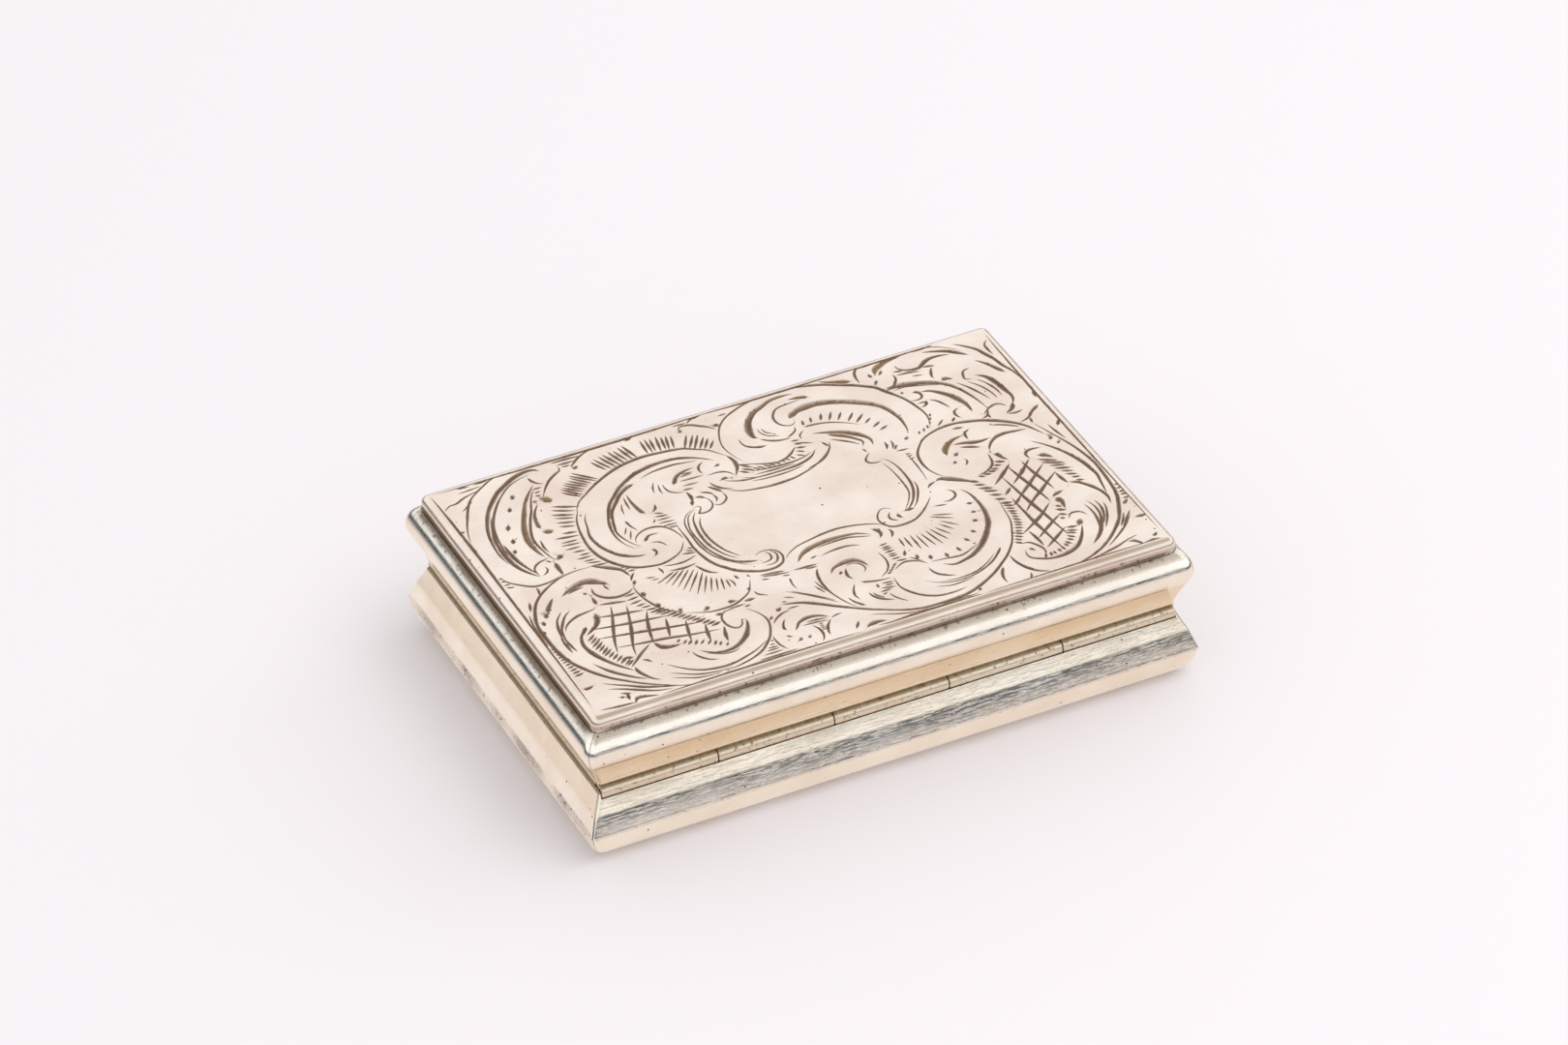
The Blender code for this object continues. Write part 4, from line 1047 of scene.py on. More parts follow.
RIGHT_LATTICE = (
    Cut(0.189, (27.4, 3.3, 27.45, 2.6, 27.7, 1.9, 28.1, 1.3, 28.6, 0.95, 28.8, 0.85)),
    Cut(0.209, (28.2, 0.7, 29, 0.62, 30, 0.68, 31, 0.9, 32, 1.3, 32.9, 1.9, 33.8, 2.75, 34.5, 3.6, 35,
        4.6, 35.4, 5.6, 35.6, 6.6, 35.75, 8.6, 35.7, 9.6, 35.5, 10.8, 35.2, 11.9, 34.9, 12.8, 34.4,
        14.3)),
    Cut(0.217, (35, 6.1, 35.2, 7.2, 35.35, 8, 35.3, 8.6, 35.2, 9.4, 34.9, 10.4, 34.5, 11.3, 34, 12.1,
        33.5, 12.7)),
    Cut(0.22, (33.6, 8.1, 34.2, 7.6, 34.6, 7, 34.85, 6.3, 34.9, 5.7, 34.75, 5.1), 0.4),
    Cut(0.131, (33.35, 5.7, 33.45, 5.2, 33.45, 4.5, 33.25, 3.6, 32.9, 2.9, 32.7, 2.6)),
    Cut(0.22, (33.65, 5.9, 33.8, 5.3, 33.75, 4.5, 33.5, 3.8, 33.1, 3.1, 32.6, 2.5, 32.1, 2.05), 0.7),
    Cut(0.131, (34.05, 5.8, 34.1, 5.1, 33.9, 4.3, 33.5, 3.5)),
    Cut(0.131, (34.4, 5.4, 34.3, 4.8, 33.9, 3.9, 33.4, 3.1)),
    Cut(0.116, (35, 4, 34.6, 3.3, 34.2, 2.8)),
    Cut(0.116, (35.4, 4, 34.8, 3.3, 34.3, 2.7)),
    Cut(0.116, (35.2, 3.6, 34.6, 2.9, 33.9, 2.3, 33.2, 1.75, 32.7, 1.4)),
    Cut(0.116, (34.7, 1.65, 34, 1.5, 33.2, 1.2, 32.2, 0.95, 31.2, 0.78)),
    TickRow(5, 0.16, (35.72, 6.6, 35.5, 5.2), (36.1, 6.6, 36.05, 5.2)),
    Cut(0.22, (35.3, 4.65, 35.8, 5.05), 0.3),
    Cut(0.217, (36.15, 3.2, 35.8, 3.2, 35.3, 3.25)),
    Cut(0.22, (35.4, 1.1, 35.75, 1.35), 0.3),
    Cut(0.22, (33.9, 1.3, 34.3, 1.2, 34.6, 0.65), 0.4),
    Cut(0.145, (34.7, 0.8, 35.7, 0.75)),
    Cut(0.242, (28.4, 3.3, 28.3, 2.9, 28.4, 2.5, 28.8, 2.2, 29.3, 1.95, 30, 1.9, 30.7, 2.05, 31.3, 2.4,
        31.8, 3, 32.1, 3.5, 32.35, 4), 0.6),
    Cut(0.374, (32.2, 4.1, 32.5, 4.5), gold=0.8),
    Cut(0.145, (28.4, 4, 28.9, 3.9, 29.2, 3.5, 29.4, 3, 29.35, 2.6, 29.15, 2.3)),
    Cut(0.176, (28.65, 3.4, 28.8, 3.25, 28.9, 3), 0.3),
    TickRow(15, 0.16, (28.2, 4.3, 28.6, 5.2, 28.95, 5.95, 29.15, 6.7, 29.25, 8.1), (28.6, 4, 29.1, 4.85,
        29.45, 5.6, 29.7, 6.8, 29.9, 7.8)),
    TickRow(12, 0.16, (29.1, 2.1, 29.6, 2.1, 30.3, 2.2, 31, 2.6, 31.6, 3.2, 32.1, 4), (29.3, 2.5, 29.7,
        2.55, 30.2, 2.7, 30.6, 2.9, 31, 3.3, 31.4, 4.2)),
    TickRow(4, 0.174, (31.5, 5.2, 31.6, 5.5, 31.7, 6, 31.8, 6.4), (31.85, 5, 32.1, 5.25, 32.2, 5.6,
        32.2, 6.1)),
    Cut(0.33, (32.2, 6.6, 32.25, 7), gold=0.8),
    Cut(0.275, (32.25, 7.05, 32.4, 6.7, 32.3, 6.2, 32.25, 5.9), 0.2),
    Cut(0.116, (32, 4.9, 32.2, 5.25, 32.6, 5.3, 32.9, 5.1, 33.05, 4.7)),
    Cut(0.203, (30.4, 10.4, 30.5, 9.6, 30.65, 8.2, 30.8, 7, 30.95, 6, 31.1, 4.7, 31.25, 3.5)),
    Cut(0.189, (30, 8.2, 30, 7.5, 30.05, 6.5, 30.1, 5.5, 30.2, 4.5, 30.3, 3.3, 30.4, 2.5)),
    Cut(0.203, (31.15, 11.2, 31.3, 10.2, 31.5, 9, 31.7, 7.7, 31.8, 6.9)),
    Cut(0.203, (32.1, 11.2, 32.2, 10.2, 32.4, 9, 32.55, 7.9)),
    Cut(0.203, (33.3, 9.3, 33.4, 8.6, 33.5, 8)),
    Cut(0.174, (29.4, 4.9, 29.5, 4.2, 29.55, 3.2)),
    Cut(0.203, (29, 4.8, 29.8, 5.3, 30.8, 6, 31.7, 6.8)),
    Cut(0.203, (29.6, 4, 30.5, 4.7, 31.2, 5.2, 31.7, 5.5)),
    Cut(0.189, (29.6, 2.95, 30.5, 3.6, 31.4, 4.25)),
    Cut(0.189, (29.8, 7.5, 30.5, 8.1)),
    Cut(0.198, (30.1, 6.6, 30.7, 7.2, 31.4, 7.8, 31.7, 8, 32.4, 8.6, 33.4, 9.4)),
    Cut(0.198, (30, 7.7, 30.7, 8.3, 31.5, 9, 32.3, 9.7, 33.1, 10.4)),
    Cut(0.189, (29.8, 8.6, 30.4, 9.2)),
    Cut(0.217, (30.7, 9.4, 31.5, 10.1, 32.1, 10.7, 32.6, 11.2)),
    Cut(0.217, (29.7, 9.8, 30.4, 10.4, 31.4, 11.3)),
    Cut(0.203, (32.1, 7.2, 32.4, 7.4, 32.9, 7.5)),
    Cut(0.22, (27.3, 15, 28, 15.8, 28.8, 16.2, 29.6, 16.4, 30.4, 16.4, 31.2, 16.2, 32, 15.9, 32.8, 15.4,
        33.4, 14.9, 33.9, 14.3, 34.2, 13.7, 34.5, 13), 0.65),
    Cut(0.145, (32.1, 15.3, 32.9, 14.9, 33.6, 14.3)),
    Cut(0.174, (30, 15.95, 30.4, 15.9, 30.7, 15.8)),
    Cut(0.145, (30.9, 15.5, 30.5, 15.3, 30.4, 14.9, 30.4, 14.6)),
    Cut(0.352, (28.6, 13.75, 28.75, 14.3, 29.1, 14.7, 29.6, 15, 30.2, 15.1), 0.25, gold=0.6),
    Cut(0.275, (29.4, 14.5, 30, 14.4, 30.5, 14.2, 31, 14.1, 31.5, 14.15)),
    Cut(0.174, (29.6, 14.1, 30.2, 13.85, 30.7, 13.55)),
    Cut(0.275, (29, 13.5, 29.25, 13.7), 0.2),
    Cut(0.22, (28.65, 12.85, 28.75, 12.95)),
    Cut(0.116, (29.3, 13, 29.4, 12.7, 29.1, 12.3)),
    Cut(0.217, (31, 13, 31.1, 13.3, 31.5, 13.8, 32, 14.1, 32.6, 14.15, 33.2, 14.05, 33.8, 13.95)),
    Cut(0.275, (31, 12.6, 31.2, 12.5, 31.3, 12.1, 31.5, 11.7), 0.2),
    Cut(0.145, (29.3, 11.1, 29.8, 11.2, 30.3, 11.5, 30.6, 11.9, 30.7, 12.4, 30.75, 12.8)),
    TickRow(6, 0.174, (29.2, 11.05, 30, 11.2, 30.4, 11.5, 30.7, 11.9), (29.7, 10.8, 30.3, 10.95, 30.8,
        11.25, 31.3, 11.6)),
    TickRow(7, 0.189, (28.5, 10.9, 28.7, 10.1, 28.95, 9.4, 29.05, 8.7, 29.15, 8.1), (29.1, 10.5, 29.5,
        9.7, 29.7, 9, 29.7, 8.3, 29.8, 7.8)),
    Cut(0.174, (32.7, 11.2, 32.6, 11.6, 32.8, 11.95, 33.2, 12, 33.7, 11.9)),
    Cut(0.33, (33.2, 11.3, 33.6, 11.1, 33.9, 10.7), 0.3),
    TickRow(8, 0.174, (33, 10.9, 33.2, 10.2, 33.5, 9.5, 33.7, 8.8, 34, 8.1), (34, 10.3, 34.3, 9.7, 34.4,
        9.1, 34.5, 8.4, 34.5, 7.85)),
    Cut(0.22, (33.7, 8, 34.3, 7.7), 0.3, gold=0.7),
    Cut(0.275, (34.6, 12.4, 34.7, 12.6)),
    Cut(0.22, (34.8, 11.85, 34.9, 11.95)),
    Cut(0.116, (35.1, 13.8, 35.2, 13, 35.4, 12)),
    Cut(0.198, (33.8, 14.7, 34.4, 14.9, 34.9, 15.4, 35.5, 15.8), 0.85),
    Cut(0.145, (34.5, 14.9, 34.4, 14.3)),
    Cut(0.22, (35.55, 13.4, 35.95, 14), 0.3),
    Cut(0.145, (33.5, 15.85, 34, 15.7, 34.5, 15.8)),
    Cut(0.275, (33.5, 15.9, 34, 16.2, 34.3, 16.7), 0.7),
    Cut(0.145, (32, 16.1, 32.4, 16.2, 32.7, 16.7)),
    Cut(0.145, (32.5, 16.3, 32.5, 15.9)),
)

CARTOUCHE = (
    Cut(0.1, (13.6, 15.9, 13, 15.6, 12.6, 15.1, 12.4, 14.4, 12.35, 13.4, 12.35, 12.4, 12.55, 11.4, 12.9,
        10.7, 13.4, 10.1, 13.9, 9.6, 14.3, 9.4)),
    Cut(0.16, (13.55, 15.8, 13, 15.4, 12.7, 14.8, 12.5, 14, 12.5, 13, 12.6, 12, 12.85, 11.2, 13.2, 10.5,
        13.7, 10, 14.2, 9.75, 14.7, 9.6), 0.9, gold=0.3),
    Cut(0.15, (13.5, 15.6, 13.1, 15, 12.9, 14.2, 12.8, 13.3, 12.85, 12.3, 13.1, 11.4, 13.4, 10.8, 13.8,
        10.3)),
    Cut(0.14, (13.55, 15, 13.25, 14.4, 13.1, 13.5, 13.15, 12.5, 13.4, 11.5, 13.7, 10.9, 14, 10.4)),
    Cut(0.19, (12, 15, 12, 13.5, 11.95, 12.5, 12.05, 11.6, 12.2, 10.9, 12.45, 10.3, 12.8, 9.8, 13.2,
        9.3, 13.8, 8.9, 14.4, 8.6, 15, 8.5, 15.5, 8.6, 15.9, 8.9, 16.1, 9.5, 15.95, 10, 15.6, 10.25,
        15.1, 10.3, 14.7, 10.1), 0.5),
    Cut(0.1, (15.3, 10.2, 15.5, 9.9, 15.45, 9.5, 15.2, 9.3, 14.7, 9.25)),
    Cut(0.1, (15.6, 10.2, 15.85, 9.8, 15.75, 9.3, 15.4, 8.95, 14.8, 8.95)),
    Cut(0.1, (13.6, 16, 13.9, 16, 13.95, 15.8, 13.75, 15.5, 13.6, 15.35, 14, 15.25, 14.4, 15.4, 14.7,
        15.8, 14.7, 16.3, 14.5, 16.7)),
    Cut(0.1, (14.75, 15.8, 15, 15.55, 15.4, 15.7, 15.7, 16.1, 15.65, 16.6)),
    Cut(0.1, (15.1, 16.7, 15.15, 16.2, 14.95, 15.9)),
    Cut(0.2, (13.8, 16.7, 13.6, 16.2), 0.3),
    Cut(0.15, (16, 16.65, 16.7, 16.2, 17.4, 16, 18.5, 15.85, 19.8, 15.9, 20.6, 16.1, 21.4, 16.4, 22,
        16.7)),
    Cut(0.12, (16.1, 9, 16.5, 9.4, 17.2, 9.8, 18, 10, 19, 10.2, 20, 10.25, 21, 10.05, 21.8, 9.75, 22.3,
        9.45, 22.6, 9)),
    Cut(0.3, (16.6, 8.4, 17, 8.9, 17.6, 9.25, 18.5, 9.45, 19.5, 9.5, 20.3, 9.4, 20.8, 9.25, 21.3, 8.9),
        0.25, -0.3, 0.6),
    Cut(0.12, (18, 9.1, 19, 9.2, 20, 9.2, 20.7, 8.95, 21.3, 8.7)),
    Cut(0.13, (18, 8.3, 18.6, 8.45, 19.2, 8.5, 19.8, 8.45, 20.4, 8.2)),
    Cut(0.12, (17.3, 8.35, 17.8, 8.45)),
    Cut(0.15, (14.1, 8.25, 15, 8.1, 15.6, 8)),
    Cut(0.1, (13.5, 8.7, 13.6, 8.4)),
    Cut(0.15, (12.85, 9, 12.95, 8.5)),
    Cut(0.1, (12.4, 8.8, 12.55, 8.4, 12.5, 7.9)),
    TickRow(12, 0.09, (10, 10.9, 10.9, 10.75, 11.3, 10.2, 11.6, 9.7, 12.3, 8.9), (8.8, 10.3, 9.4, 9.5,
        10.2, 8.4, 11, 8, 12.2, 7.9), 0.3),
    Cut(0.15, (9.8, 11.1, 10.2, 11, 10.8, 10.95, 11.5, 11.05)),
    Cut(0.18, (11.3, 10.9, 11.5, 10.4, 11.8, 9.9, 12.2, 9.6)),
    Cut(0.12, (9.7, 11.65, 10.3, 11.5, 11, 11.5, 11.8, 11.75)),
    TickRow(3, 0.11, (11.1, 12.2, 11.6, 12.65), (11.9, 12, 11.9, 12.4)),
    Cut(0.12, (9.35, 11.7, 9.45, 11.3, 9.4, 10.95)),
    Cut(0.14, (23.5, 10.5, 23.2, 10.75, 22.9, 10.75, 22.55, 10.4, 22.35, 9.9, 22.45, 9.4, 22.7, 9, 23.1,
        8.85, 23.7, 8.85, 24.3, 9, 25, 9.5, 25.6, 10.1, 26, 10.6), 0.55),
    Cut(0.12, (23.3, 10.3, 23.05, 10, 23.05, 9.6, 23.4, 9.3)),
    Cut(0.2, (23.6, 9.95, 23.55, 9.7, 23.7, 9.45), 0.3),
    Cut(0.25, (21.6, 9.3, 21.9, 9, 21.9, 8.6, 21.7, 8.3), 0.3),
    Cut(0.15, (22.45, 8.9, 22.55, 8.5, 22.3, 8)),
    Cut(0.14, (25.1, 15.3, 25.4, 14.9, 25.6, 14.2, 25.65, 13.3, 25.6, 12.4, 25.4, 11.6, 25, 10.8, 24.5,
        10.2, 24.1, 9.95), 0.7),
    Cut(0.08, (25, 14.9, 25.15, 14, 25.2, 13, 25.15, 11.8, 24.95, 11.2, 24.5, 10.5, 24.1, 10.05)),
    Cut(0.1, (25.8, 12.4, 25.75, 11.8, 25.5, 11.2, 25.1, 10.5, 24.7, 10.05)),
    Cut(0.2, (24, 10, 24.7, 10), gold=0.7),
    Cut(0.12, (24.8, 16.1, 24.6, 15.95, 24.3, 15.6, 24.3, 15.3, 24.6, 15.05, 25.1, 15.05)),
    Cut(0.1, (24.6, 16.7, 24.7, 16.2)),
    Cut(0.13, (25.8, 15.9, 26, 16.3, 26, 16.7)),
    Cut(0.1, (26.1, 15.8, 26.35, 16.2, 26.4, 16.7)),
    Cut(0.2, (26.35, 15.9, 26.45, 16)),
    Cut(0.22, (27.2, 16.35, 27.4, 16.45)),
    TickRow(3, 0.1, (26.5, 14.95, 26.5, 14.4), (26.9, 14.95, 26.9, 14.45)),
    Cut(0.1, (26.2, 15.5, 27, 15.4)),
    Cut(0.06, (26.6, 15.2, 26.65, 14, 26.6, 12.8, 26.5, 12)),
    Cut(0.13, (28.8, 16.2, 28, 15.75, 27.5, 15.2, 27.15, 14.6, 27, 13.8, 27.05, 13, 27.3, 12.3, 27.6,
        11.9)),
    Cut(0.12, (26.2, 11.3, 26.45, 11.6, 26.9, 11.75)),
    Cut(0.35, (26.9, 11.75, 27.2, 11.85, 27.7, 11.6, 28.1, 11.3, 28.5, 10.95, 28.9, 10.6), 0.35, -0.3),
    Cut(0.13, (27.05, 10.7, 27.3, 10.5, 27.35, 10.1, 27.1, 9.8, 26.7, 9.65, 26.4, 9.8)),
)

GREAT_LEFT_SCROLL = (
    Cut(0.19, (7.65, 18.95, 7.2, 18.1, 6.97, 17.3, 6.85, 16.7, 6.75, 15.8, 6.75, 15, 6.9, 14.2, 7.2,
        13.5, 7.6, 12.9, 8.1, 12.4, 8.7, 12.1, 9.6, 11.9, 10.2, 12, 10.8, 12.25, 11.3, 12.65, 11.7,
        13.3)),
    Cut(0.2, (7.5, 18.8, 8, 19.6, 8.56, 20.05, 9.2, 20.55, 10, 21.05, 10.86, 21.5, 11.7, 21.8, 12.6,
        21.94, 13.3, 21.97, 14.1, 21.88, 14.86, 21.77, 15.5, 21.6, 16.1, 21.2, 16.7, 20.77, 17.1, 20.2,
        17.45, 19.7)),
    Cut(0.22, (17.4, 19.8, 17.58, 19.1, 17.45, 18.4, 17.05, 17.7), 0.4, gold=0.5),
    Cut(0.22, (11.5, 19.75, 10.95, 19.6, 10.3, 19.1, 9.8, 18.5, 9.3, 17.86, 9, 17.1, 8.84, 16.5, 8.7,
        15.9, 8.8, 15.2, 9.05, 14.5, 9.4, 13.95), 0.05),
    Cut(0.26, (16.55, 19.73, 16.1, 20.14, 15.6, 20.5, 15.05, 20.77, 14.5, 20.93, 13.8, 20.98, 13.05,
        20.93, 12.4, 20.77, 11.95, 20.64, 11.3, 20.27, 10.7, 19.86, 10.05, 19.2, 9.5, 18.6, 9.1, 17.86,
        8.77, 17.1, 8.6, 16.5, 8.5, 15.8, 8.55, 15, 8.75, 14.4, 9, 14), 0.35, -0.3),
    Cut(0.28, (12.1, 20.68, 12.4, 20.8, 12.7, 20.85)),
    Cut(0.22, (7.84, 18.3, 7.6, 17.8, 7.43, 17.1, 7.25, 16.5, 7.2, 16, 7.3, 15.2, 7.55, 14.5, 7.9, 13.9,
        8.4, 13.45, 8.9, 13.2, 9.3, 13.15), 0.8),
    Cut(0.12, (9.3, 14.4, 9.4, 14.8, 9.8, 15.2, 10.4, 15.4, 11, 15.3, 11.4, 15, 11.65, 14.5, 11.8, 13.9,
        11.8, 13.5)),
    Cut(0.14, (9.6, 16.7, 9.65, 16.1, 9.85, 15.5), 0.1),
    Cut(0.18, (9.75, 14.3, 10.2, 14.75, 10.8, 14.7), 0.05),
    Cut(0.08, (10, 14.05, 10.4, 13.95, 10.65, 13.6, 10.7, 13.3)),
    Cut(0.16, (9.8, 13.5, 9.95, 13.2, 9.85, 12.9, 9.6, 12.75), 0.1),
    Cut(0.07, (9.1, 14.8, 9.5, 15.7)),
    Cut(0.07, (9, 15.4, 9.4, 16.1)),
    Cut(0.07, (11.1, 16.1, 11.1, 15.9, 10.9, 15.7)),
    TickRow(6, 0.12, (11.3, 16.6, 11.1, 15.8, 11.2, 15.2, 11.5, 14.9), (11.9, 16.3, 12.2, 15.8, 12.2,
        15.1, 12.1, 14.85)),
    TickRow(3, 0.14, (5.93, 17.23, 5.3, 16.8, 5.4, 16.4), (6.75, 17.05, 6.65, 16.7, 6.55, 16.3)),
    TickRow(4, 0.13, (5.3, 16.15, 5.3, 15.8, 5.7, 15.3, 5.9, 14.85), (6.6, 15.95, 6.4, 15.6, 6.5, 15.2,
        6.6, 14.8)),
    TickRow(4, 0.12, (5.6, 14.55, 5.8, 14.2, 6, 13.9, 6, 13.6), (6.6, 14.5, 6.7, 14.15, 6.8, 13.8, 7.1,
        13.45)),
    TickRow(6, 0.15, (6, 17.95, 6.1, 18.7, 6.1, 19.4, 6.5, 19.9), (6.93, 17.6, 7.15, 18.2, 7.5, 18.9,
        7.75, 19.27)),
    TickRow(9, 0.15, (7.5, 20.95, 7.8, 21.6, 8.3, 21.9, 8.8, 22.4), (8.4, 20.05, 8.8, 20.4, 9.3, 20.85,
        9.9, 21.2)),
    TickRow(8, 0.16, (10.2, 22.95, 11, 23.2, 12.45, 23.55), (10.75, 21.7, 11.6, 21.86, 12.8, 22.05)),
    TickRow(7, 0.14, (13.6, 23.55, 14.4, 23.45, 15.4, 23.2), (13.5, 22.05, 14.2, 22.05, 15.05, 21.8)),
    TickRow(6, 0.14, (16.2, 22.7, 16.8, 22.5, 17.45, 21.6), (15.6, 21.6, 16.1, 21.2, 16.8, 20.77)),
    Cut(0.12, (12.1, 20.05, 12.8, 20.3, 13.6, 20.4, 14.4, 20.4, 14.86, 20.3, 15.7, 20.14)),
    Cut(0.24, (10.7, 18.95, 10.66, 18.3, 10.7, 17.7, 10.8, 17.05, 10.9, 16.8), 0.9, gold=0.3),
    Cut(0.09, (10.45, 18.86, 10.36, 18.2, 10.3, 17.5)),
    Cut(0.07, (10.1, 18.3, 9.9, 17.8, 9.8, 17.2)),
    Cut(0.13, (11.77, 17.4, 11.6, 16.95, 11.27, 16.7)),
    Cut(0.1, (12.95, 18.95, 12.93, 18.5, 13.05, 18.05, 13.4, 17.77, 13.77, 17.64)),
    Cut(0.07, (12.6, 19.4, 12.3, 18.8, 12.2, 18.3)),
    Cut(0.07, (12.75, 19.1, 12.6, 18.5, 12.6, 18)),
    Cut(0.2, (13.86, 17.6, 13.9, 17.05, 13.77, 16.5)),
    Cut(0.24, (13.5, 18.6, 13.7, 18.86, 13.86, 19.14, 14.2, 19.4, 14.7, 19.55, 15.2, 19.6), 0.08),
    TickRow(4, 0.1, (14, 19.1, 13.9, 18.6, 13.8, 18.1, 13.7, 17.85), (15, 19.15, 15.5, 18.5, 14.8,
        18.05, 14.4, 17.75)),
    Cut(0.1, (14.3, 19.3, 15, 19.25)),
    Cut(0.12, (15.45, 18.77, 15.4, 19.2, 15.55, 19.6, 15.95, 19.86)),
    Cut(0.2, (16.3, 19.1, 16.64, 19.2, 16.7, 19.25), 0.8),
    Cut(0.1, (15.6, 18.5, 16.3, 18.5, 16.77, 18.27, 17.05, 17.77)),
    Cut(0.2, (16.05, 17.7, 16.4, 17.8, 16.64, 17.68)),
    Cut(0.1, (16.2, 17.6, 16.7, 17.3, 17.4, 17.05, 18.5, 16.95)),
    Cut(0.15, (15.4, 17.86, 15.55, 17.4, 15.86, 16.95, 16.4, 16.6)),
    Cut(0.2, (15.14, 17.5, 15.5, 17.05, 15.7, 16.6)),
    Cut(0.15, (14.5, 17.2, 14.95, 16.95, 15.15, 16.6)),
    Cut(0.2, (14.05, 16.86, 14.4, 16.77, 14.6, 16.5)),
    Cut(0.15, (8.34, 23.4, 8.34, 23.05, 7.93, 22.8, 7.4, 22.4, 6.93, 21.86, 6.56, 21.3, 6.4, 21.05),
        0.3),
    Cut(0.6, (6.35, 20.95, 6.5, 20.72, 6.65, 20.5), gold=0.8),
    Cut(0.24, (5.84, 20.55, 5.47, 20.05, 5.2, 19.5, 5.06, 18.86, 5.02, 18.3), 0.95, gold=0.3),
    Cut(0.4, (5.05, 17.95, 5.3, 17.82, 5.6, 17.75), gold=0.8),
    Cut(0.15, (5.6, 20.86, 6, 20.86)),
    Cut(0.15, (6.38, 23.2, 6.47, 22.77, 6.75, 22.36, 7, 22.3), 0.3),
    TickRow(3, 0.11, (6.15, 22, 6.1, 21.7, 6, 21.35), (6.75, 22, 6.55, 21.7, 6.4, 21.3)),
    Cut(0.3, (9.1, 22.8, 9.35, 22.9), gold=0.4),
    Cut(0.13, (9.1, 22.9, 9.05, 23.05, 9.3, 23.27, 9.7, 23.64, 10.3, 23.95, 10.95, 24.14, 11.5, 24.2),
        0.3),
    Cut(0.32, (12.9, 23.95, 13, 24.1, 13.4, 24.25), 0.2),
    Cut(0.16, (16.05, 23.3, 16.1, 23.6, 16.4, 23.68, 16.86, 23.55, 17.3, 23.2, 17.7, 22.86, 18, 22.4),
        0.5),
    Cut(0.28, (16, 23.2, 16.1, 23.3), gold=0.4),
    Cut(0.14, (16.7, 23.77, 17.1, 24.1, 17.6, 24.4, 17.86, 24.55)),
    Cut(0.1, (15.8, 23.9, 16.7, 23.85)),
    Cut(0.12, (7.6, 24.3, 9, 24.27, 10.3, 24.12)),
    Cut(0.17, (8.1, 23.87, 9, 23.88, 9.9, 23.8)),
    Cut(0.15, (8.35, 23.53, 9.5, 23.5)),
    Cut(0.12, (8.5, 23.25, 9.1, 23.22)),
)

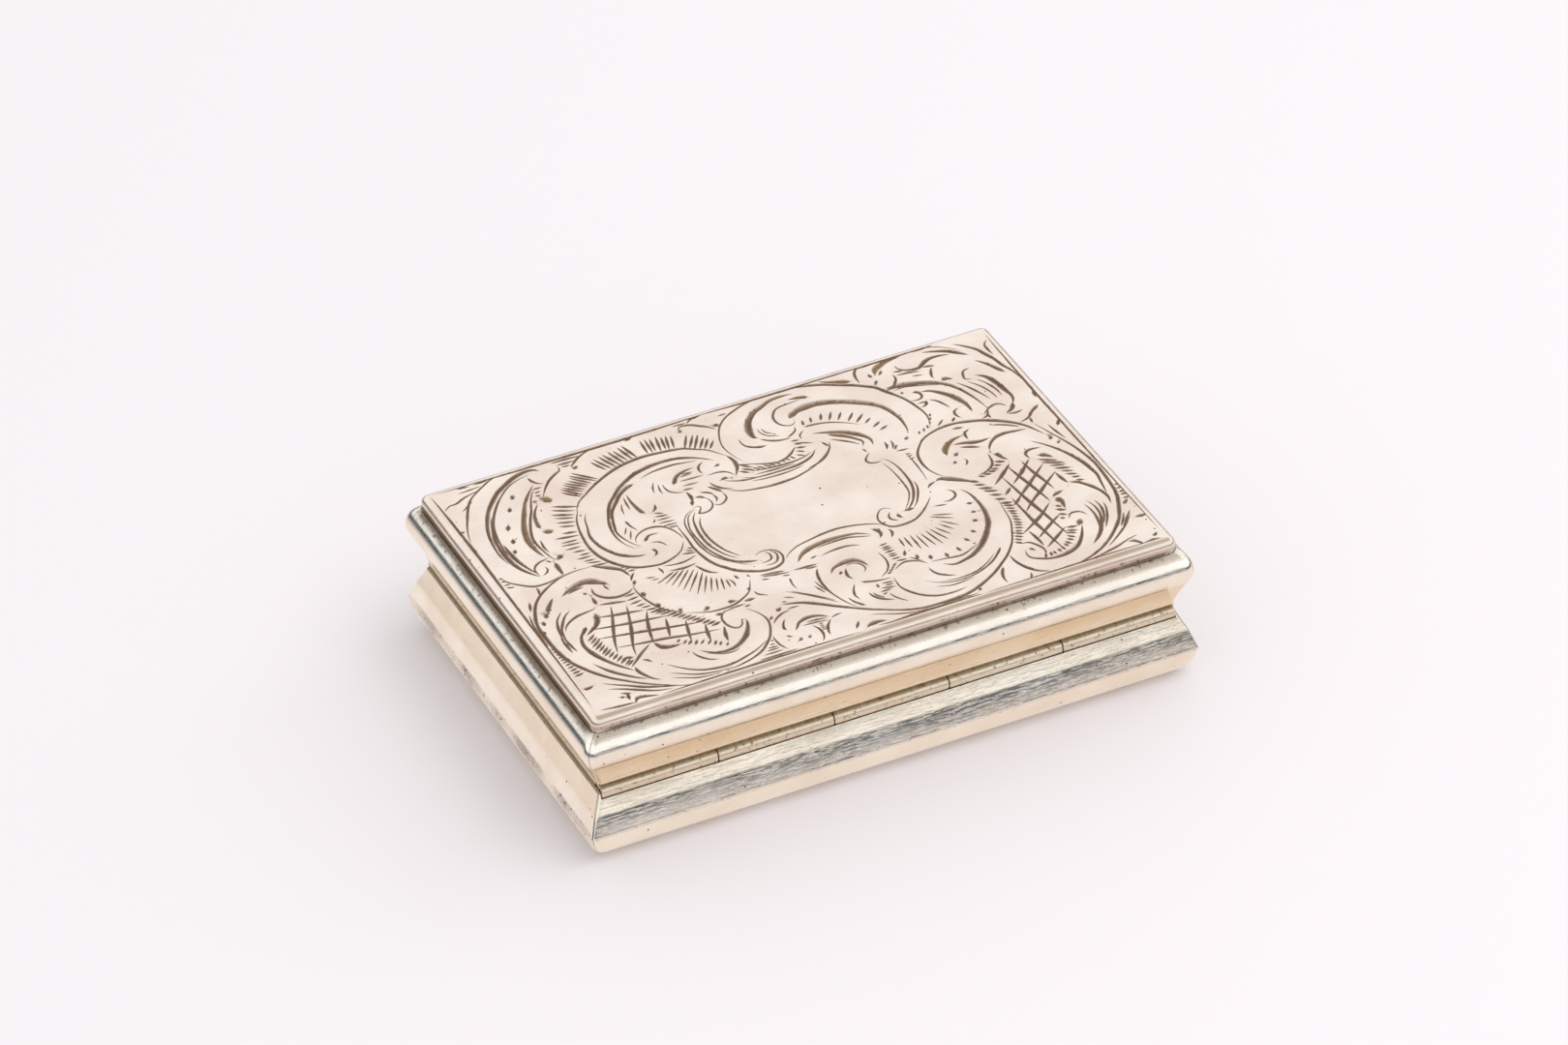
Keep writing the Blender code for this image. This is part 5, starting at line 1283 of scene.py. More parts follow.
LEFT_CRESCENTS = (
    Cut(0.12, (0.97, 18.9, 1.15, 19.7, 1.43, 20.5, 1.75, 21.2, 2.1, 21.95, 2.56, 22.7, 3.1, 23.2, 3.75,
        23.65, 4.3, 24, 4.84, 24.22, 5.56, 24.42, 6.4, 24.5, 7.56, 24.38), 0.3),
    Cut(0.12, (0.84, 22.4, 1.3, 22.77, 1.75, 22.8, 2.3, 23.1, 3.1, 23.35, 3.4, 23.4)),
    Cut(0.18, (2.35, 24.6, 2.47, 24.3, 2.7, 24.1, 3.06, 24), 0.5),
    Cut(0.1, (3.3, 24.04, 3.6, 24.05, 4.3, 24.1)),
    Cut(0.09, (2.2, 23.63, 2.84, 23.68, 3.7, 23.75)),
    Cut(0.09, (1.75, 21.9, 2.15, 22.2, 2.65, 22.6)),
    Cut(0.07, (4, 24.55, 5.5, 24.6)),
    Cut(0.3, (7.25, 23.55, 7, 23.77, 6.65, 23.85, 6.1, 23.77, 5.56, 23.55, 4.84, 23.1, 4.3, 22.7, 3.75,
        22.1, 3.2, 21.4, 2.75, 20.6, 2.34, 19.6, 2.1, 18.7, 1.97, 17.7, 1.93, 16.9, 2.05, 16), 0.12,
        -0.4),
    Cut(0.14, (6.65, 23.5, 5.84, 23.3, 5.1, 22.95, 4.56, 22.5, 3.93, 21.8, 3.3, 20.9, 2.8, 19.9, 2.5,
        18.7, 2.38, 17.5, 2.36, 16.5), 0.6),
    Cut(0.3, (2.95, 20.6, 2.6, 19.6, 2.3, 18.5, 2.2, 17.5, 2.22, 16.5, 2.35, 15.6, 2.6, 14.9, 3.1,
        14.05), 0.6),
    Cut(0.22, (2.52, 17.8, 2.52, 16.9, 2.62, 16, 2.85, 15.1, 3.1, 14.4), 0.4),
    Cut(0.14, (1.05, 15, 1.3, 14.4, 1.7, 13.95, 2.2, 13.5, 2.6, 13.3, 3.3, 13.3, 3.9, 13.45, 4.3,
        13.6)),
    Cut(0.12, (3.15, 14.1, 3.1, 14.7, 3.3, 15.1, 3.7, 15.35, 4, 15.4, 4.3, 15.5)),
    Cut(0.1, (4, 15.3, 4.2, 15.1, 4.25, 14.95)),
    Cut(0.1, (3.3, 14.05, 3.6, 14.2, 3.8, 14.5, 3.75, 14.8)),
    Cut(0.3, (4.4, 14.9, 4.38, 14.1, 4.35, 13.55), 0.3),
    Cut(0.36, (4.12, 15.7, 3.97, 16.5, 3.95, 17.3, 4.05, 18.05, 4.35, 19.05, 4.8, 20.05, 5.25, 20.95,
        5.7, 21.6, 6.15, 22.15, 6.34, 22.36), 0.25, 0.4, 0.5),
    Cut(0.15, (4.6, 15, 4.45, 15.4, 4.3, 16.2, 4.22, 17.3, 4.43, 18.3, 4.84, 19.3, 5.25, 20.1, 5.6,
        20.95, 6, 21.7, 6.34, 22.1), 0.4),
    Cut(0.12, (4.56, 17.3, 4.47, 16.5, 4.55, 15.9)),
    Cut(0.4, (4.83, 15.15, 4.97, 15.35)),
    Cut(0.28, (4.75, 21.7, 4.93, 22)),
    Cut(0.28, (4.1, 20.6, 4.3, 20.95)),
    Cut(0.3, (3.3, 18.95, 3.55, 19.5)),
    Cut(0.26, (3.08, 17.65, 3.22, 18.1)),
    Cut(0.25, (2.78, 16.8, 2.9, 17.05)),
    TickRow(4, 0.1, (1, 14.9, 0.93, 14.5, 0.92, 14.2, 0.98, 13.95), (1.12, 14.9, 1.25, 14.55, 1.4,
        14.15, 1.5, 13.8)),
    Cut(0.12, (2.5, 13.2, 2.5, 12.8, 2.35, 12.4)),
    TickRow(7, 0.12, (6.5, 10, 6.5, 9.2, 6.9, 8.6, 7.3, 7.95), (7.3, 10.1, 7.3, 9.3, 7.5, 8.7, 8, 7.9)),
    Cut(0.12, (7.4, 10.8, 7.35, 10.2, 7.45, 9.4, 7.65, 8.7, 7.9, 8.1, 8.3, 7.6, 8.9, 7.05)),
    Cut(0.25, (7.55, 10.9, 7.65, 11.1)),
    Cut(0.3, (7.58, 9.62, 7.62, 9.88)),
    Cut(0.3, (7.85, 8.3, 7.95, 8.5)),
    Cut(0.12, (7.5, 11.2, 7.7, 11.6, 8, 11.9)),
    TickRow(3, 0.1, (7.7, 12.15, 7.5, 12.7), (8.2, 12.1, 7.8, 12.6)),
    TickRow(3, 0.07, (8.3, 11.1, 8.7, 10.3), (8.9, 10.9, 9.2, 10.45)),
)

UPPER_SCROLLS = (
    Cut(0.19, (18.1, 18.7, 17.86, 19.2, 17.64, 20.05, 17.6, 20.77, 17.77, 21.5, 18.1, 22.3, 18.5, 22.86,
        19, 23.3, 19.64, 23.64, 20.36, 23.95, 21.1, 24.14, 22, 24.27, 23, 24.23, 23.9, 24.1, 24.7,
        23.86, 25.45, 23.55, 26.2, 23.1, 26.9, 22.7, 27.55, 22.2, 28, 21.8, 28.3, 21.2, 28.66, 20.6, 29,
        19.86, 29.2, 19.1, 29.35, 18.2, 29.3, 17.6, 29, 16.7), 0.75),
    Cut(0.3, (25.25, 23.98, 25.7, 23.7, 26.4, 23.35, 27, 23.1), 0.75, gold=0.5),
    Cut(0.12, (26, 24.5, 25.8, 24.3)),
    Cut(0.4, (23.36, 23.6, 22.7, 23.68, 21.9, 23.6, 21.3, 23.3, 20.64, 23, 20.2, 22.6, 19.86, 22.14,
        19.64, 21.6, 19.55, 21.05, 19.6, 20.6, 19.75, 20.5), 0.82, 0.3, 0.2),
    Cut(0.15, (19.8, 20.36, 20.1, 20.05, 20.55, 19.77, 21, 19.64, 21.45, 19.6)),
    Cut(0.24, (24.1, 22.86, 23.73, 23.03, 23.3, 23.12, 22.9, 23.16), 0.1),
    Cut(0.12, (23.6, 22.86, 22.7, 22.8, 22, 22.7, 21.64, 22.4, 21.4, 21.95, 21.36, 21.5, 21.5, 21.05,
        21.9, 20.75, 22.2, 20.8, 22.36, 21.05), 0.55),
    Cut(0.1, (22.1, 20.55, 22, 20.2, 21.64, 19.9, 21.2, 19.7)),
    Cut(0.42, (22.2, 21.45, 22.7, 21.85, 23.1, 21.98, 23.8, 22.05, 24.55, 21.95, 25.3, 21.65, 26, 21.25,
        26.7, 20.75, 27.3, 20.15, 27.64, 19.5, 27.8, 18.8, 27.86, 18.2, 27.77, 17.3, 27.64, 16.9), 0.15,
        -0.45, 0.25),
    Cut(0.4, (22.2, 21.4, 22.5, 21.7, 23.1, 21.95), 0.4, gold=0.9),
    TickRow(10, 0.14, (22.75, 20.9, 23.9, 21.05, 25.2, 20.6, 26.1, 19.85, 26.6, 18.9, 26.9, 18.1),
        (22.62, 20.36, 23.75, 20.35, 24.8, 19.7, 25.45, 19.2, 25.9, 18.6, 26.3, 17.86)),
    Cut(0.12, (22.55, 20.2, 23.1, 20.2, 23.8, 20.05, 24.36, 19.8, 24.9, 19.45, 25.5, 18.95), 0.1),
    Cut(0.3, (22.77, 19.38, 23.45, 19.14, 24.2, 18.8, 24.7, 18.4, 25.2, 17.86, 25.45, 17.3, 25.36,
        16.8), 0.6, -0.3),
    Cut(0.26, (23.45, 18.9, 23.9, 18.6, 24.36, 18.2, 24.7, 17.77, 24.95, 17.3, 24.75, 16.9), 0.15,
        gold=0.6),
    Cut(0.12, (23.36, 18.4, 23.8, 18.05, 24.3, 17.6, 24.7, 17.1)),
    Cut(0.15, (22.8, 18.4, 22.95, 18.05, 23, 17.77)),
    Cut(0.15, (23.2, 18.2, 23.05, 17.77, 22.7, 17.3, 22.2, 16.86, 21.64, 16.55, 21, 16.4)),
    Cut(0.15, (18, 18.5, 18.55, 18.2, 19.1, 17.95, 19.64, 17.77, 20.2, 17.86, 20.7, 18.14, 21.1, 18.5,
        21.3, 18.7), 0.7),
    TickRow(5, 0.13, (21.25, 19.3, 21.3, 18.7, 20.95, 17.95), (21.8, 19.2, 21.85, 18.45, 21.45, 17.6)),
    Cut(0.1, (21.3, 19.05, 21.9, 18.8, 22.4, 18.5)),
    Cut(0.13, (18, 17.7, 18.9, 17.5, 20.3, 17.4, 21.2, 17.5, 21.9, 17.77)),
    Cut(0.16, (17.3, 17.35, 18, 17, 19.4, 16.92, 20.7, 17, 21.64, 17.35, 22.2, 17.9), 0.7),
    Cut(0.1, (18, 17.28, 19.4, 17.2, 20.6, 17.2)),
    Cut(0.1, (17.6, 16.8, 18.4, 16.65, 19.8, 16.62, 21, 16.8)),
    TickRow(9, 0.12, (17.8, 18.1, 19.2, 17.9, 20.6, 17.95), (18.3, 17.6, 19.6, 17.5, 20.8, 17.6)),
    TickRow(4, 0.13, (17.45, 18.7, 17.7, 18.35, 17.4, 18.0), (18.3, 18.25, 18.3, 17.9, 17.9, 17.6)),
    Cut(0.3, (18, 22.85, 18.35, 22.8)),
    Cut(0.15, (18.7, 20.95, 18.7, 20.4, 18.86, 20, 19.3, 19.7, 19.64, 19.6, 19.9, 19.64), 0.8),
    Cut(0.07, (20.1, 21.4, 20.1, 20.9, 20.4, 20.4, 21, 20.1)),
    Cut(0.07, (20.3, 21.3, 20.4, 20.8, 20.8, 20.4)),
    Cut(0.08, (21.95, 19.2, 22, 19.6, 22.4, 19.95)),
    Cut(0.08, (18.6, 23.6, 19.2, 23.64)),
    Cut(0.13, (27.36, 22.7, 27.36, 23.2, 27.5, 23.77, 27.86, 24.2, 28.5, 24.42, 29.3, 24.55, 30.3,
        24.55, 31.1, 24.5, 31.86, 24.3, 32.6, 24.05, 33.1, 23.77, 33.66, 23.3, 34.1, 22.86), 0.1),
    Cut(0.22, (33.86, 23.7, 34.3, 23.3, 34.86, 22.6, 35.1, 21.95, 35.35, 21.2, 35.5, 20.4, 35.77, 19.5,
        35.86, 18.6), 0.4),
    Cut(0.28, (31.9, 23.8, 32.6, 23.55, 33.2, 23.27, 33.66, 22.9, 34.2, 22.3), 0.7),
    Cut(0.4, (28.5, 23.05, 28.75, 23.55, 29.3, 23.86, 29.86, 24.02, 30.5, 24.03), 0.3, 0.2, 0.8),
    Cut(0.2, (28.66, 22.86, 29.05, 23.3), gold=0.6),
    Cut(0.2, (28.16, 23.3, 28.2, 22.86), 0.7),
    Cut(0.2, (28.2, 22.3, 28.28, 22.42)),
    Cut(0.24, (29.9, 23.3, 29.94, 22.95, 30.3, 22.6, 30.86, 22.45, 31.2, 22.55, 31.6, 22.86, 32.1,
        23.05, 32.75, 23, 33.2, 22.86), 0.6),
    Cut(0.13, (29.5, 22.77, 30.2, 22.64)),
    Cut(0.15, (31.2, 22.42, 31.7, 22.35, 32, 22.2)),
    Cut(0.16, (29.4, 22.6, 29.4, 22.14, 29.2, 21.8, 28.94, 21.5, 28.4, 21.48)),
    Cut(0.15, (29.5, 22.36, 30.3, 22.32, 31, 22.1)),
    Cut(0.09, (30.3, 21.9, 31, 21.7)),
    Cut(0.3, (28.3, 21.25, 28.75, 21.36, 29.4, 21.36, 30, 21.2, 30.75, 20.95, 31.3, 20.6, 31.86, 20.05,
        32.25, 19.3, 32.5, 18.5, 32.66, 17.77, 32.75, 17.05), 0.15, -0.3),
    Cut(0.1, (28.66, 21.05, 29.4, 21.1, 30, 20.95, 30.75, 20.65, 31.4, 20.3)),
    Cut(0.15, (31.75, 22.2, 31.5, 21.77, 31.35, 21.3, 31.4, 21.05)),
    Cut(0.3, (31.66, 20.64, 31.94, 20.77, 32.3, 20.5), 0.3, gold=0.3),
    Cut(0.16, (29.1, 20.77, 29.05, 20.5)),
    Cut(0.2, (29.6, 20.35, 29.9, 20.3, 30, 19.95, 29.85, 19.64, 29.5, 19.55, 29.16, 19.64), 0.1),
    Cut(0.36, (30.1, 20.2, 30.6, 20.05, 31.05, 19.6, 31.4, 19.14, 31.66, 18.6, 31.86, 17.86, 31.85,
        17.05), 0.6, 0.3, 0.3),
    Cut(0.12, (30.1, 19.3, 30.5, 18.95, 30.75, 18.4, 30.9, 17.95)),
    Cut(0.14, (31.3, 17.7, 30.94, 17.55, 30.85, 17.1, 31, 16.7)),
    Cut(0.15, (29.35, 19.2, 29.94, 19.15, 29.65, 18.8, 29.4, 18.85)),
    TickRow(6, 0.12, (29.6, 18, 29.3, 17.4, 28.7, 16.9, 28.3, 16.7), (29.45, 17.7, 29, 16.8, 28.5, 16.5,
        28.1, 16.4)),
    Cut(0.15, (30.7, 17, 30.35, 16.6)),
    Cut(0.12, (30, 17.1, 29.4, 16.6)),
    Cut(0.11, (32.3, 20.1, 32.75, 19.3, 33.1, 18.4, 33.35, 17.6)),
    Cut(0.11, (32.94, 19.86, 33.4, 19.1, 33.66, 18.3, 33.75, 17.5)),
    Cut(0.11, (33.5, 19.86, 33.85, 19.2, 34.07, 18.4, 34.1, 17.6)),
    Cut(0.32, (33.65, 20.2, 34, 19.95, 34.25, 19.5, 34.4, 18.8, 34.5, 18.05, 34.57, 17.5, 34.5, 17.05,
        34.25, 16.6), 0.3, 0.3),
    Cut(0.13, (33.66, 21.05, 33.2, 20.95, 33, 20.55, 32.94, 20.14, 33.3, 19.95)),
    Cut(0.25, (34.3, 21.6, 34.75, 20.95, 35.1, 20.2, 35.3, 19.7), 0.8),
    Cut(0.11, (35.85, 23.2, 35.5, 22.8, 35.45, 22.3, 35.5, 21.6)),
    Cut(0.16, (35.85, 17.3, 35.75, 16.5)),
    Cut(0.13, (32.3, 16.4, 32.75, 16.8, 33.2, 17.02, 33.6, 16.93, 33.85, 16.55)),
)

ORNAMENT = (
    *EDGE_LINES,
    *LEFT_LATTICE,
    *LOWER_SCROLLS,
    *MIDDLE_SCROLLS,
    *RIGHT_LATTICE,
    *CARTOUCHE,
    *GREAT_LEFT_SCROLL,
    *LEFT_CRESCENTS,
    *UPPER_SCROLLS,
)


@dataclass(frozen=True)
class Groove:
    """A short straight stretch of a cut, on the plate."""

    start: Vector
    end: Vector
    start_half: float
    end_half: float
    lean: float
    steepness: float
    tone: float
    gold: float

    def depth_at(self, point: Vector) -> tuple[float, float]:
        """Tells how deep the stretch is at a point.

        Args:
            point: A point of the plate.

        Returns:
            The depth, and how close the point is to the valley, from 0 to 1.
        """
        run = self.end - self.start
        share = clamp((point - self.start).dot(run) / run.length_squared)
        off = point - self.start.lerp(self.end, share)
        half = WALL_SHARE * (self.start_half + (self.end_half - self.start_half) * share)
        across = math.copysign(off.length, run.x * off.y - run.y * off.x)
        if abs(across) >= half:
            return 0.0, 0.0
        valley = self.lean * half
        if across < valley:
            near = (across + half) / (valley + half)
        else:
            near = (half - across) / (half - valley)
        return self.steepness * half * near, near


@dataclass
class EngravedPlate:
    """The lid's top sheet, engraved with scrolls, shells and lattices round a plain cartouche."""

    box: Box
    silver: bpy.types.Material
    gilt: bpy.types.Material
    inset: float = 0.837
    edge_width: float = 0.46
    edge_drop: float = 0.46
    corner: float = 0.5
    top: float = 9.4
    underside: float = 8.72
    drawing_corner: Point = (18.35, 12.47)
    outline_step: float = 1.2
    corner_steps: int = 8
    edge_steps: int = 20
    spacing: float = 0.22
    margin: float = 0.035
    width_share: float = 0.62
    least_half: float = 0.032
    steepness: float = 0.6
    clean_depth: float = 0.004
    dirt_fade: float = 0.012
    wide_face: float = 0.3
    collar: float = 0.11
    side_height: float = 0.05
    side_dirt: float = 0.5
    long_side_share: float = 0.3
    cell: float = 0.5
    cells: dict[tuple[int, int], list[Groove]] = field(default_factory=dict)

    def core(self) -> Vector:
        """Gives half the sizes of the rectangle between the corners' centres."""
        away = self.inset + self.corner
        return Vector((self.box.half_length - away, self.box.half_width - away))

    def outline(self, inset: float) -> list[Vector]:
        """Gives the plate's rounded outline, drawn in from its edge.

        Args:
            inset: How far inside the edge it runs.

        Returns:
            The points, once round.
        """
        core, radius = self.core(), self.corner - inset
        points: list[Vector] = []
        for turn, (x, y) in enumerate(((1, 1), (-1, 1), (-1, -1), (1, -1))):
            centre = Vector((x * core.x, y * core.y))
            for step in range(self.corner_steps + 1):
                angle = math.radians(90 * turn + 90 * step / self.corner_steps)
                points.append(centre + radius * Vector((math.cos(angle), math.sin(angle))))
        whole = []
        for start, end in zip(points, points[1:] + points[:1]):
            count = max(1, round((end - start).length / self.outline_step))
            whole += [start.lerp(end, step / count) for step in range(count)]
        return whole

    def shaped(self, cut: Cut, seed: int) -> list[tuple[Vector, float]]:
        """Runs a cut over the plate and gives it its changing width.

        Args:
            cut: The engraved line.
            seed: A number that gives each cut its own unevenness.

        Returns:
            Places on the plate, each with half the cut's width there.
        """
        samples = smooth_path(cut.points(), min(self.spacing, 0.1 + cut.width))
        swell = clamp(cut.swell, 0.03, 0.97)
        core = self.core() + Vector((1, 1)) * (self.corner - self.edge_width - self.margin)
        shaped = []
        for index, sample in enumerate(samples):
            share = index / (len(samples) - 1)
            rise = share / swell if share < swell else (1 - share) / (1 - swell)
            uneven = 1 + 0.16 * noise.noise(Vector((sample.x * 1.3, sample.y * 1.3, seed * 0.7)))
            widest = self.width_share * cut.width + self.least_half
            half = widest * max(0.1, rise**0.5) * uneven
            room = core - Vector((half, half))
            x = clamp(self.drawing_corner[0] - sample.x, -room.x, room.x)
            y = clamp(self.drawing_corner[1] - sample.y, -room.y, room.y)
            shaped.append((Vector((x, y)), half))
        return shaped

    def remember(self, groove: Groove) -> None:
        """Files a stretch under every cell of the plate that it reaches."""
        reach = max(groove.start_half, groove.end_half)
        low = [min(a, b) - reach for a, b in zip(groove.start, groove.end)]
        high = [max(a, b) + reach for a, b in zip(groove.start, groove.end)]
        for column in range(math.floor(low[0] / self.cell), math.floor(high[0] / self.cell) + 1):
            for row in range(math.floor(low[1] / self.cell), math.floor(high[1] / self.cell) + 1):
                self.cells.setdefault((column, row), []).append(groove)

    def engrave(
        self,
        cut: Cut,
        seed: int,
        points: list[Vector],
        edges: list[tuple[int, int]],
    ) -> None:
        """Adds a cut's two edges and its valley to the drawing.

        Args:
            cut: The engraved line.
            seed: A number that gives each cut its own unevenness.
            points: The drawing's points, added to.
            edges: The drawing's lines, added to.
        """
        shaped = self.shaped(cut, seed)
        steepness = self.steepness * (1 + 0.3 * noise.noise(Vector((seed * 1.7, 0.5, 0.2))))
        tone = min(1.0, 0.75 + 2 * cut.width)
        kind = (cut.lean, steepness, tone, cut.gold)
        for (start, start_half), (end, end_half) in zip(shaped, shaped[1:]):
            if (end - start).length > 1e-4:
                self.remember(Groove(start, end, start_half, end_half, *kind))
        rows: list[list[int]] = [[], [], []]
        for index, (place, half) in enumerate(shaped):
            before = shaped[max(0, index - 1)][0]
            run = shaped[min(len(shaped) - 1, index + 1)][0] - before
            along = run.normalized() if run.length > 1e-6 else Vector((1, 0))
            left = Vector((-along.y, along.x))
            for row, offset in zip(rows, (-1.0, cut.lean, 1.0)):
                row.append(len(points))
                points.append(place + left * offset * half)
        for row in rows:
            edges.extend(zip(row, row[1:]))
        for end in (0, -1):
            edges += [(rows[0][end], rows[1][end]), (rows[1][end], rows[2][end])]

    def worked(self, point: Vector) -> tuple[float, float, float]:
        """Gives the depth, tarnish and old gilding at a point of the plate."""
        deepest = (0.0, 0.0, 0.0)
        key = (math.floor(point.x / self.cell), math.floor(point.y / self.cell))
        for groove in self.cells.get(key, []):
            depth, near = groove.depth_at(point)
            if depth > deepest[0]:
                uneven = 0.85 + 0.3 * noise.noise(Vector((point.x, point.y, 4.0)))
                filled = clamp((depth - self.clean_depth) / self.dirt_fade) * near
                deepest = (depth, min(1.0, filled * groove.tone * uneven), filled * groove.gold)
        return deepest

    def collars(self, points: Sequence[Vector], faces: Sequence[Sequence[int]]) -> list[Vector]:
        """Finds where a wide plain face reaches into a cut, whose wall would spread over it.

        Args:
            points: The meshed drawing's points.
            faces: Its faces, as places in points.

        Returns:
            Points to add close round each such place.
        """
        stray = set()
        for face in faces:
            corners = [points[corner] for corner in face]
            middle = sum(corners, Vector((0.0, 0.0))) / len(corners)
            wide = max((corner - middle).length for corner in corners) > self.wide_face
            if wide and not self.worked(middle)[0]:
                stray.update(corner for corner in face if self.worked(points[corner])[0])
        limit = self.core() + Vector((1, 1)) * (self.corner - self.edge_width - 0.05)
        turns = [math.tau * turn / 8 for turn in range(8)]
        ring = [self.collar * Vector((math.cos(turn), math.sin(turn))) for turn in turns]
        placed = [points[corner] + step for corner in stray for step in ring]
        return [point for point in placed if abs(point.x) < limit.x and abs(point.y) < limit.y]

    def top_face(self) -> bmesh.types.BMesh:
        """Meshes the flat of the plate round its cuts and sinks them.

        Returns:
            The open top.
        """
        points = self.outline(self.edge_width)
        edges = [(index, (index + 1) % len(points)) for index in range(len(points))]
        seed = 0
        for item in ORNAMENT:
            for cut in item.cuts() if isinstance(item, TickRow) else (item,):
                seed += 1
                self.engrave(cut, seed, points, edges)
        LOG.info("engraving: %d cuts, %d points", seed, len(points))
        laid = delaunay_2d_cdt(points, edges, [], 0, 1e-5)
        points += self.collars(laid[0], laid[2])
        laid = delaunay_2d_cdt(points, edges, [], 0, 1e-5)
        build = bmesh.new()
        tarnish, gold = stain_layers(build)
        verts = []
        for point in laid[0]:
            depth, dirt, gilding = self.worked(point)
            vertex = build.verts.new((point.x, point.y, self.top - depth))
            vertex[tarnish], vertex[gold] = dirt, gilding
            verts.append(vertex)
        for corners in laid[2]:
            build.faces.new([verts[corner] for corner in corners])
        return build

    def make(self) -> None:
        """Makes the plate: the engraved top, its rounded edge, its side and its gilt underside."""
        build = self.top_face()
        tarnish = build.verts.layers.float["tarnish"]
        core = self.core()
        rim = [edge for edge in build.edges if edge.is_boundary]
        edge_foot = self.top - self.edge_drop
        steps = []
        for step in range(1, self.edge_steps + 1):
            angle = math.radians(90 * step / self.edge_steps)
            drop = self.edge_drop * (1 - math.cos(angle))
            steps.append((self.edge_width * (1 - math.sin(angle)), self.top - drop))
        steps += [(0.0, edge_foot - self.side_height), (0.0, self.underside)]
        for inset, height in steps:
            rim = rim_of(bmesh.ops.extrude_edge_only(build, edges=rim)["geom"])
            for vertex in {vertex for edge in rim for vertex in edge.verts}:
                x, y = vertex.co.xy
                nearest = Vector((clamp(x, -core.x, core.x), clamp(y, -core.y, core.y)))
                away = (vertex.co.xy - nearest).normalized()
                vertex.co.xy = nearest + away * (self.corner - inset)
                vertex.co.z = height
                spot = Vector((vertex.co.x * 0.45, vertex.co.y * 0.45, 2.0))
                patchy = self.side_dirt + 0.35 * noise.noise(spot)
                # The long sides are wiped cleaner than the short ones.
                patchy *= self.long_side_share if abs(vertex.co.y) > core.y else 1.0
                vertex[tarnish] = patchy if height < edge_foot else 0.0
        floor = bmesh.ops.edgeloop_fill(build, edges=rim, mat_nr=1)["faces"]
        bmesh.ops.recalc_face_normals(build, faces=build.faces)
        LOG.info("plate underside: %d face", len(floor))
        piece = finish_piece("engraved_plate", build, self.silver, sharp_degrees=5.0)
        piece.data.materials.append(self.gilt)
        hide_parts("lid_plate")
        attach(piece, "lid")


@dataclass
class Knuckles:
    """The five knuckles of the lid hinge."""

    box: Box
    hinge: HingeLine
    silver: bpy.types.Material
    radius: float = 0.42
    bore: float = 0.2
    chamfer: float = 0.04
    count: int = 5
    sides: int = 48
    dirt: float = 0.1
    top_painted_shade: float = 0.18
    upper_from: float = 0.3
    gilding: float = 0.33

    def make(self) -> None:
        """Turns each knuckle over its node in the frame."""
        centre = Vector((0, self.box.half_width - self.hinge.inset, self.hinge.height))
        for index in range(self.count):
            body = "lid" if index % 2 else "base"
            node = f"{body}_knuckle_{index + 1}"
            low, high = (corner.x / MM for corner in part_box(node))
            wall = [
                (low, self.bore),
                (low, self.radius - self.chamfer),
                (low + self.chamfer, self.radius),
                (high - self.chamfer, self.radius),
                (high, self.radius - self.chamfer),
                (high, self.bore),
            ]
            build = bmesh.new()
            tarnish, gold = stain_layers(build)
            verts = [build.verts.new((x, radius, 0)) for x, radius in wall]
            edges = [build.edges.new(pair) for pair in zip(verts, verts[1:] + verts[:1])]
            bmesh.ops.spin(
                build,
                geom=verts + edges,
                cent=(0, 0, 0),
                axis=(1, 0, 0),
                angle=math.tau,
                steps=self.sides,
                use_merge=True,
            )
            for vertex in build.verts:
                # Light even dirt all round. The extra over the top, from the lid's foot up inside its
                # channel, is painted shade under the lid's edge.
                vertex[tarnish] = self.dirt + self.top_painted_shade * (vertex.co.z > self.upper_from)
                vertex[gold] = self.gilding
            bmesh.ops.translate(build, verts=build.verts, vec=centre)
            bmesh.ops.recalc_face_normals(build, faces=build.faces)
            piece = finish_piece(f"knuckle_{index + 1}", build, self.silver)
            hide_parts(node)
            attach(piece, body)


@dataclass
class Eased:
    """Plain inner parts from the frame, with their sharp edges eased and darker below their tops.

    The angles are in radians.
    """

    nodes: dict[str, bpy.types.Object]
    flat_angle: float = 0.01
    sharp_angle: float = 0.7
    dirt: float = 0.1
    darkening_depth: float = 0.4

    def make(
        self,
        name: str,
        body: str,
        finish: bpy.types.Material,
        slot: str,
        ease: float,
    ) -> None:
        """Makes one part.

        Args:
            name: The node that it is made from and replaces.
            body: The body that it rides on.
            finish: Its material.
            slot: Its material slot's name; not used.
            ease: The width of its eased edges.
        """
        node = self.nodes[name]
        build = bmesh.new()
        build.from_mesh(node.data)
        grown = Matrix.Scale(1 / MM, 4) @ node.matrix_world
        bmesh.ops.transform(build, matrix=grown, verts=build.verts)
        bmesh.ops.dissolve_limit(
            build,
            angle_limit=self.flat_angle,
            verts=build.verts,
            edges=build.edges,
        )
        folds = [edge for edge in build.edges if edge.is_manifold]
        sharp = [edge for edge in folds if edge.calc_face_angle() > self.sharp_angle]
        bmesh.ops.bevel(
            build,
            geom=sharp,
            offset=ease,
            offset_type="OFFSET",
            segments=2,
            profile=0.5,
            affect="EDGES",
            clamp_overlap=True,
        )
        tarnish = build.verts.layers.float.new("tarnish")
        top = max(vertex.co.z for vertex in build.verts)
        # Each part grows darker down to the darkening depth below its top, and stays so below, in uneven
        # patches.
        for vertex in build.verts:
            deep = min(1.0, (top - vertex.co.z) / self.darkening_depth)
            vertex[tarnish] = self.dirt * deep * (1 + noise.noise(vertex.co * 0.8))
        piece = finish_piece(f"eased_{name}", build, finish)
        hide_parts(name)
        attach(piece, body)


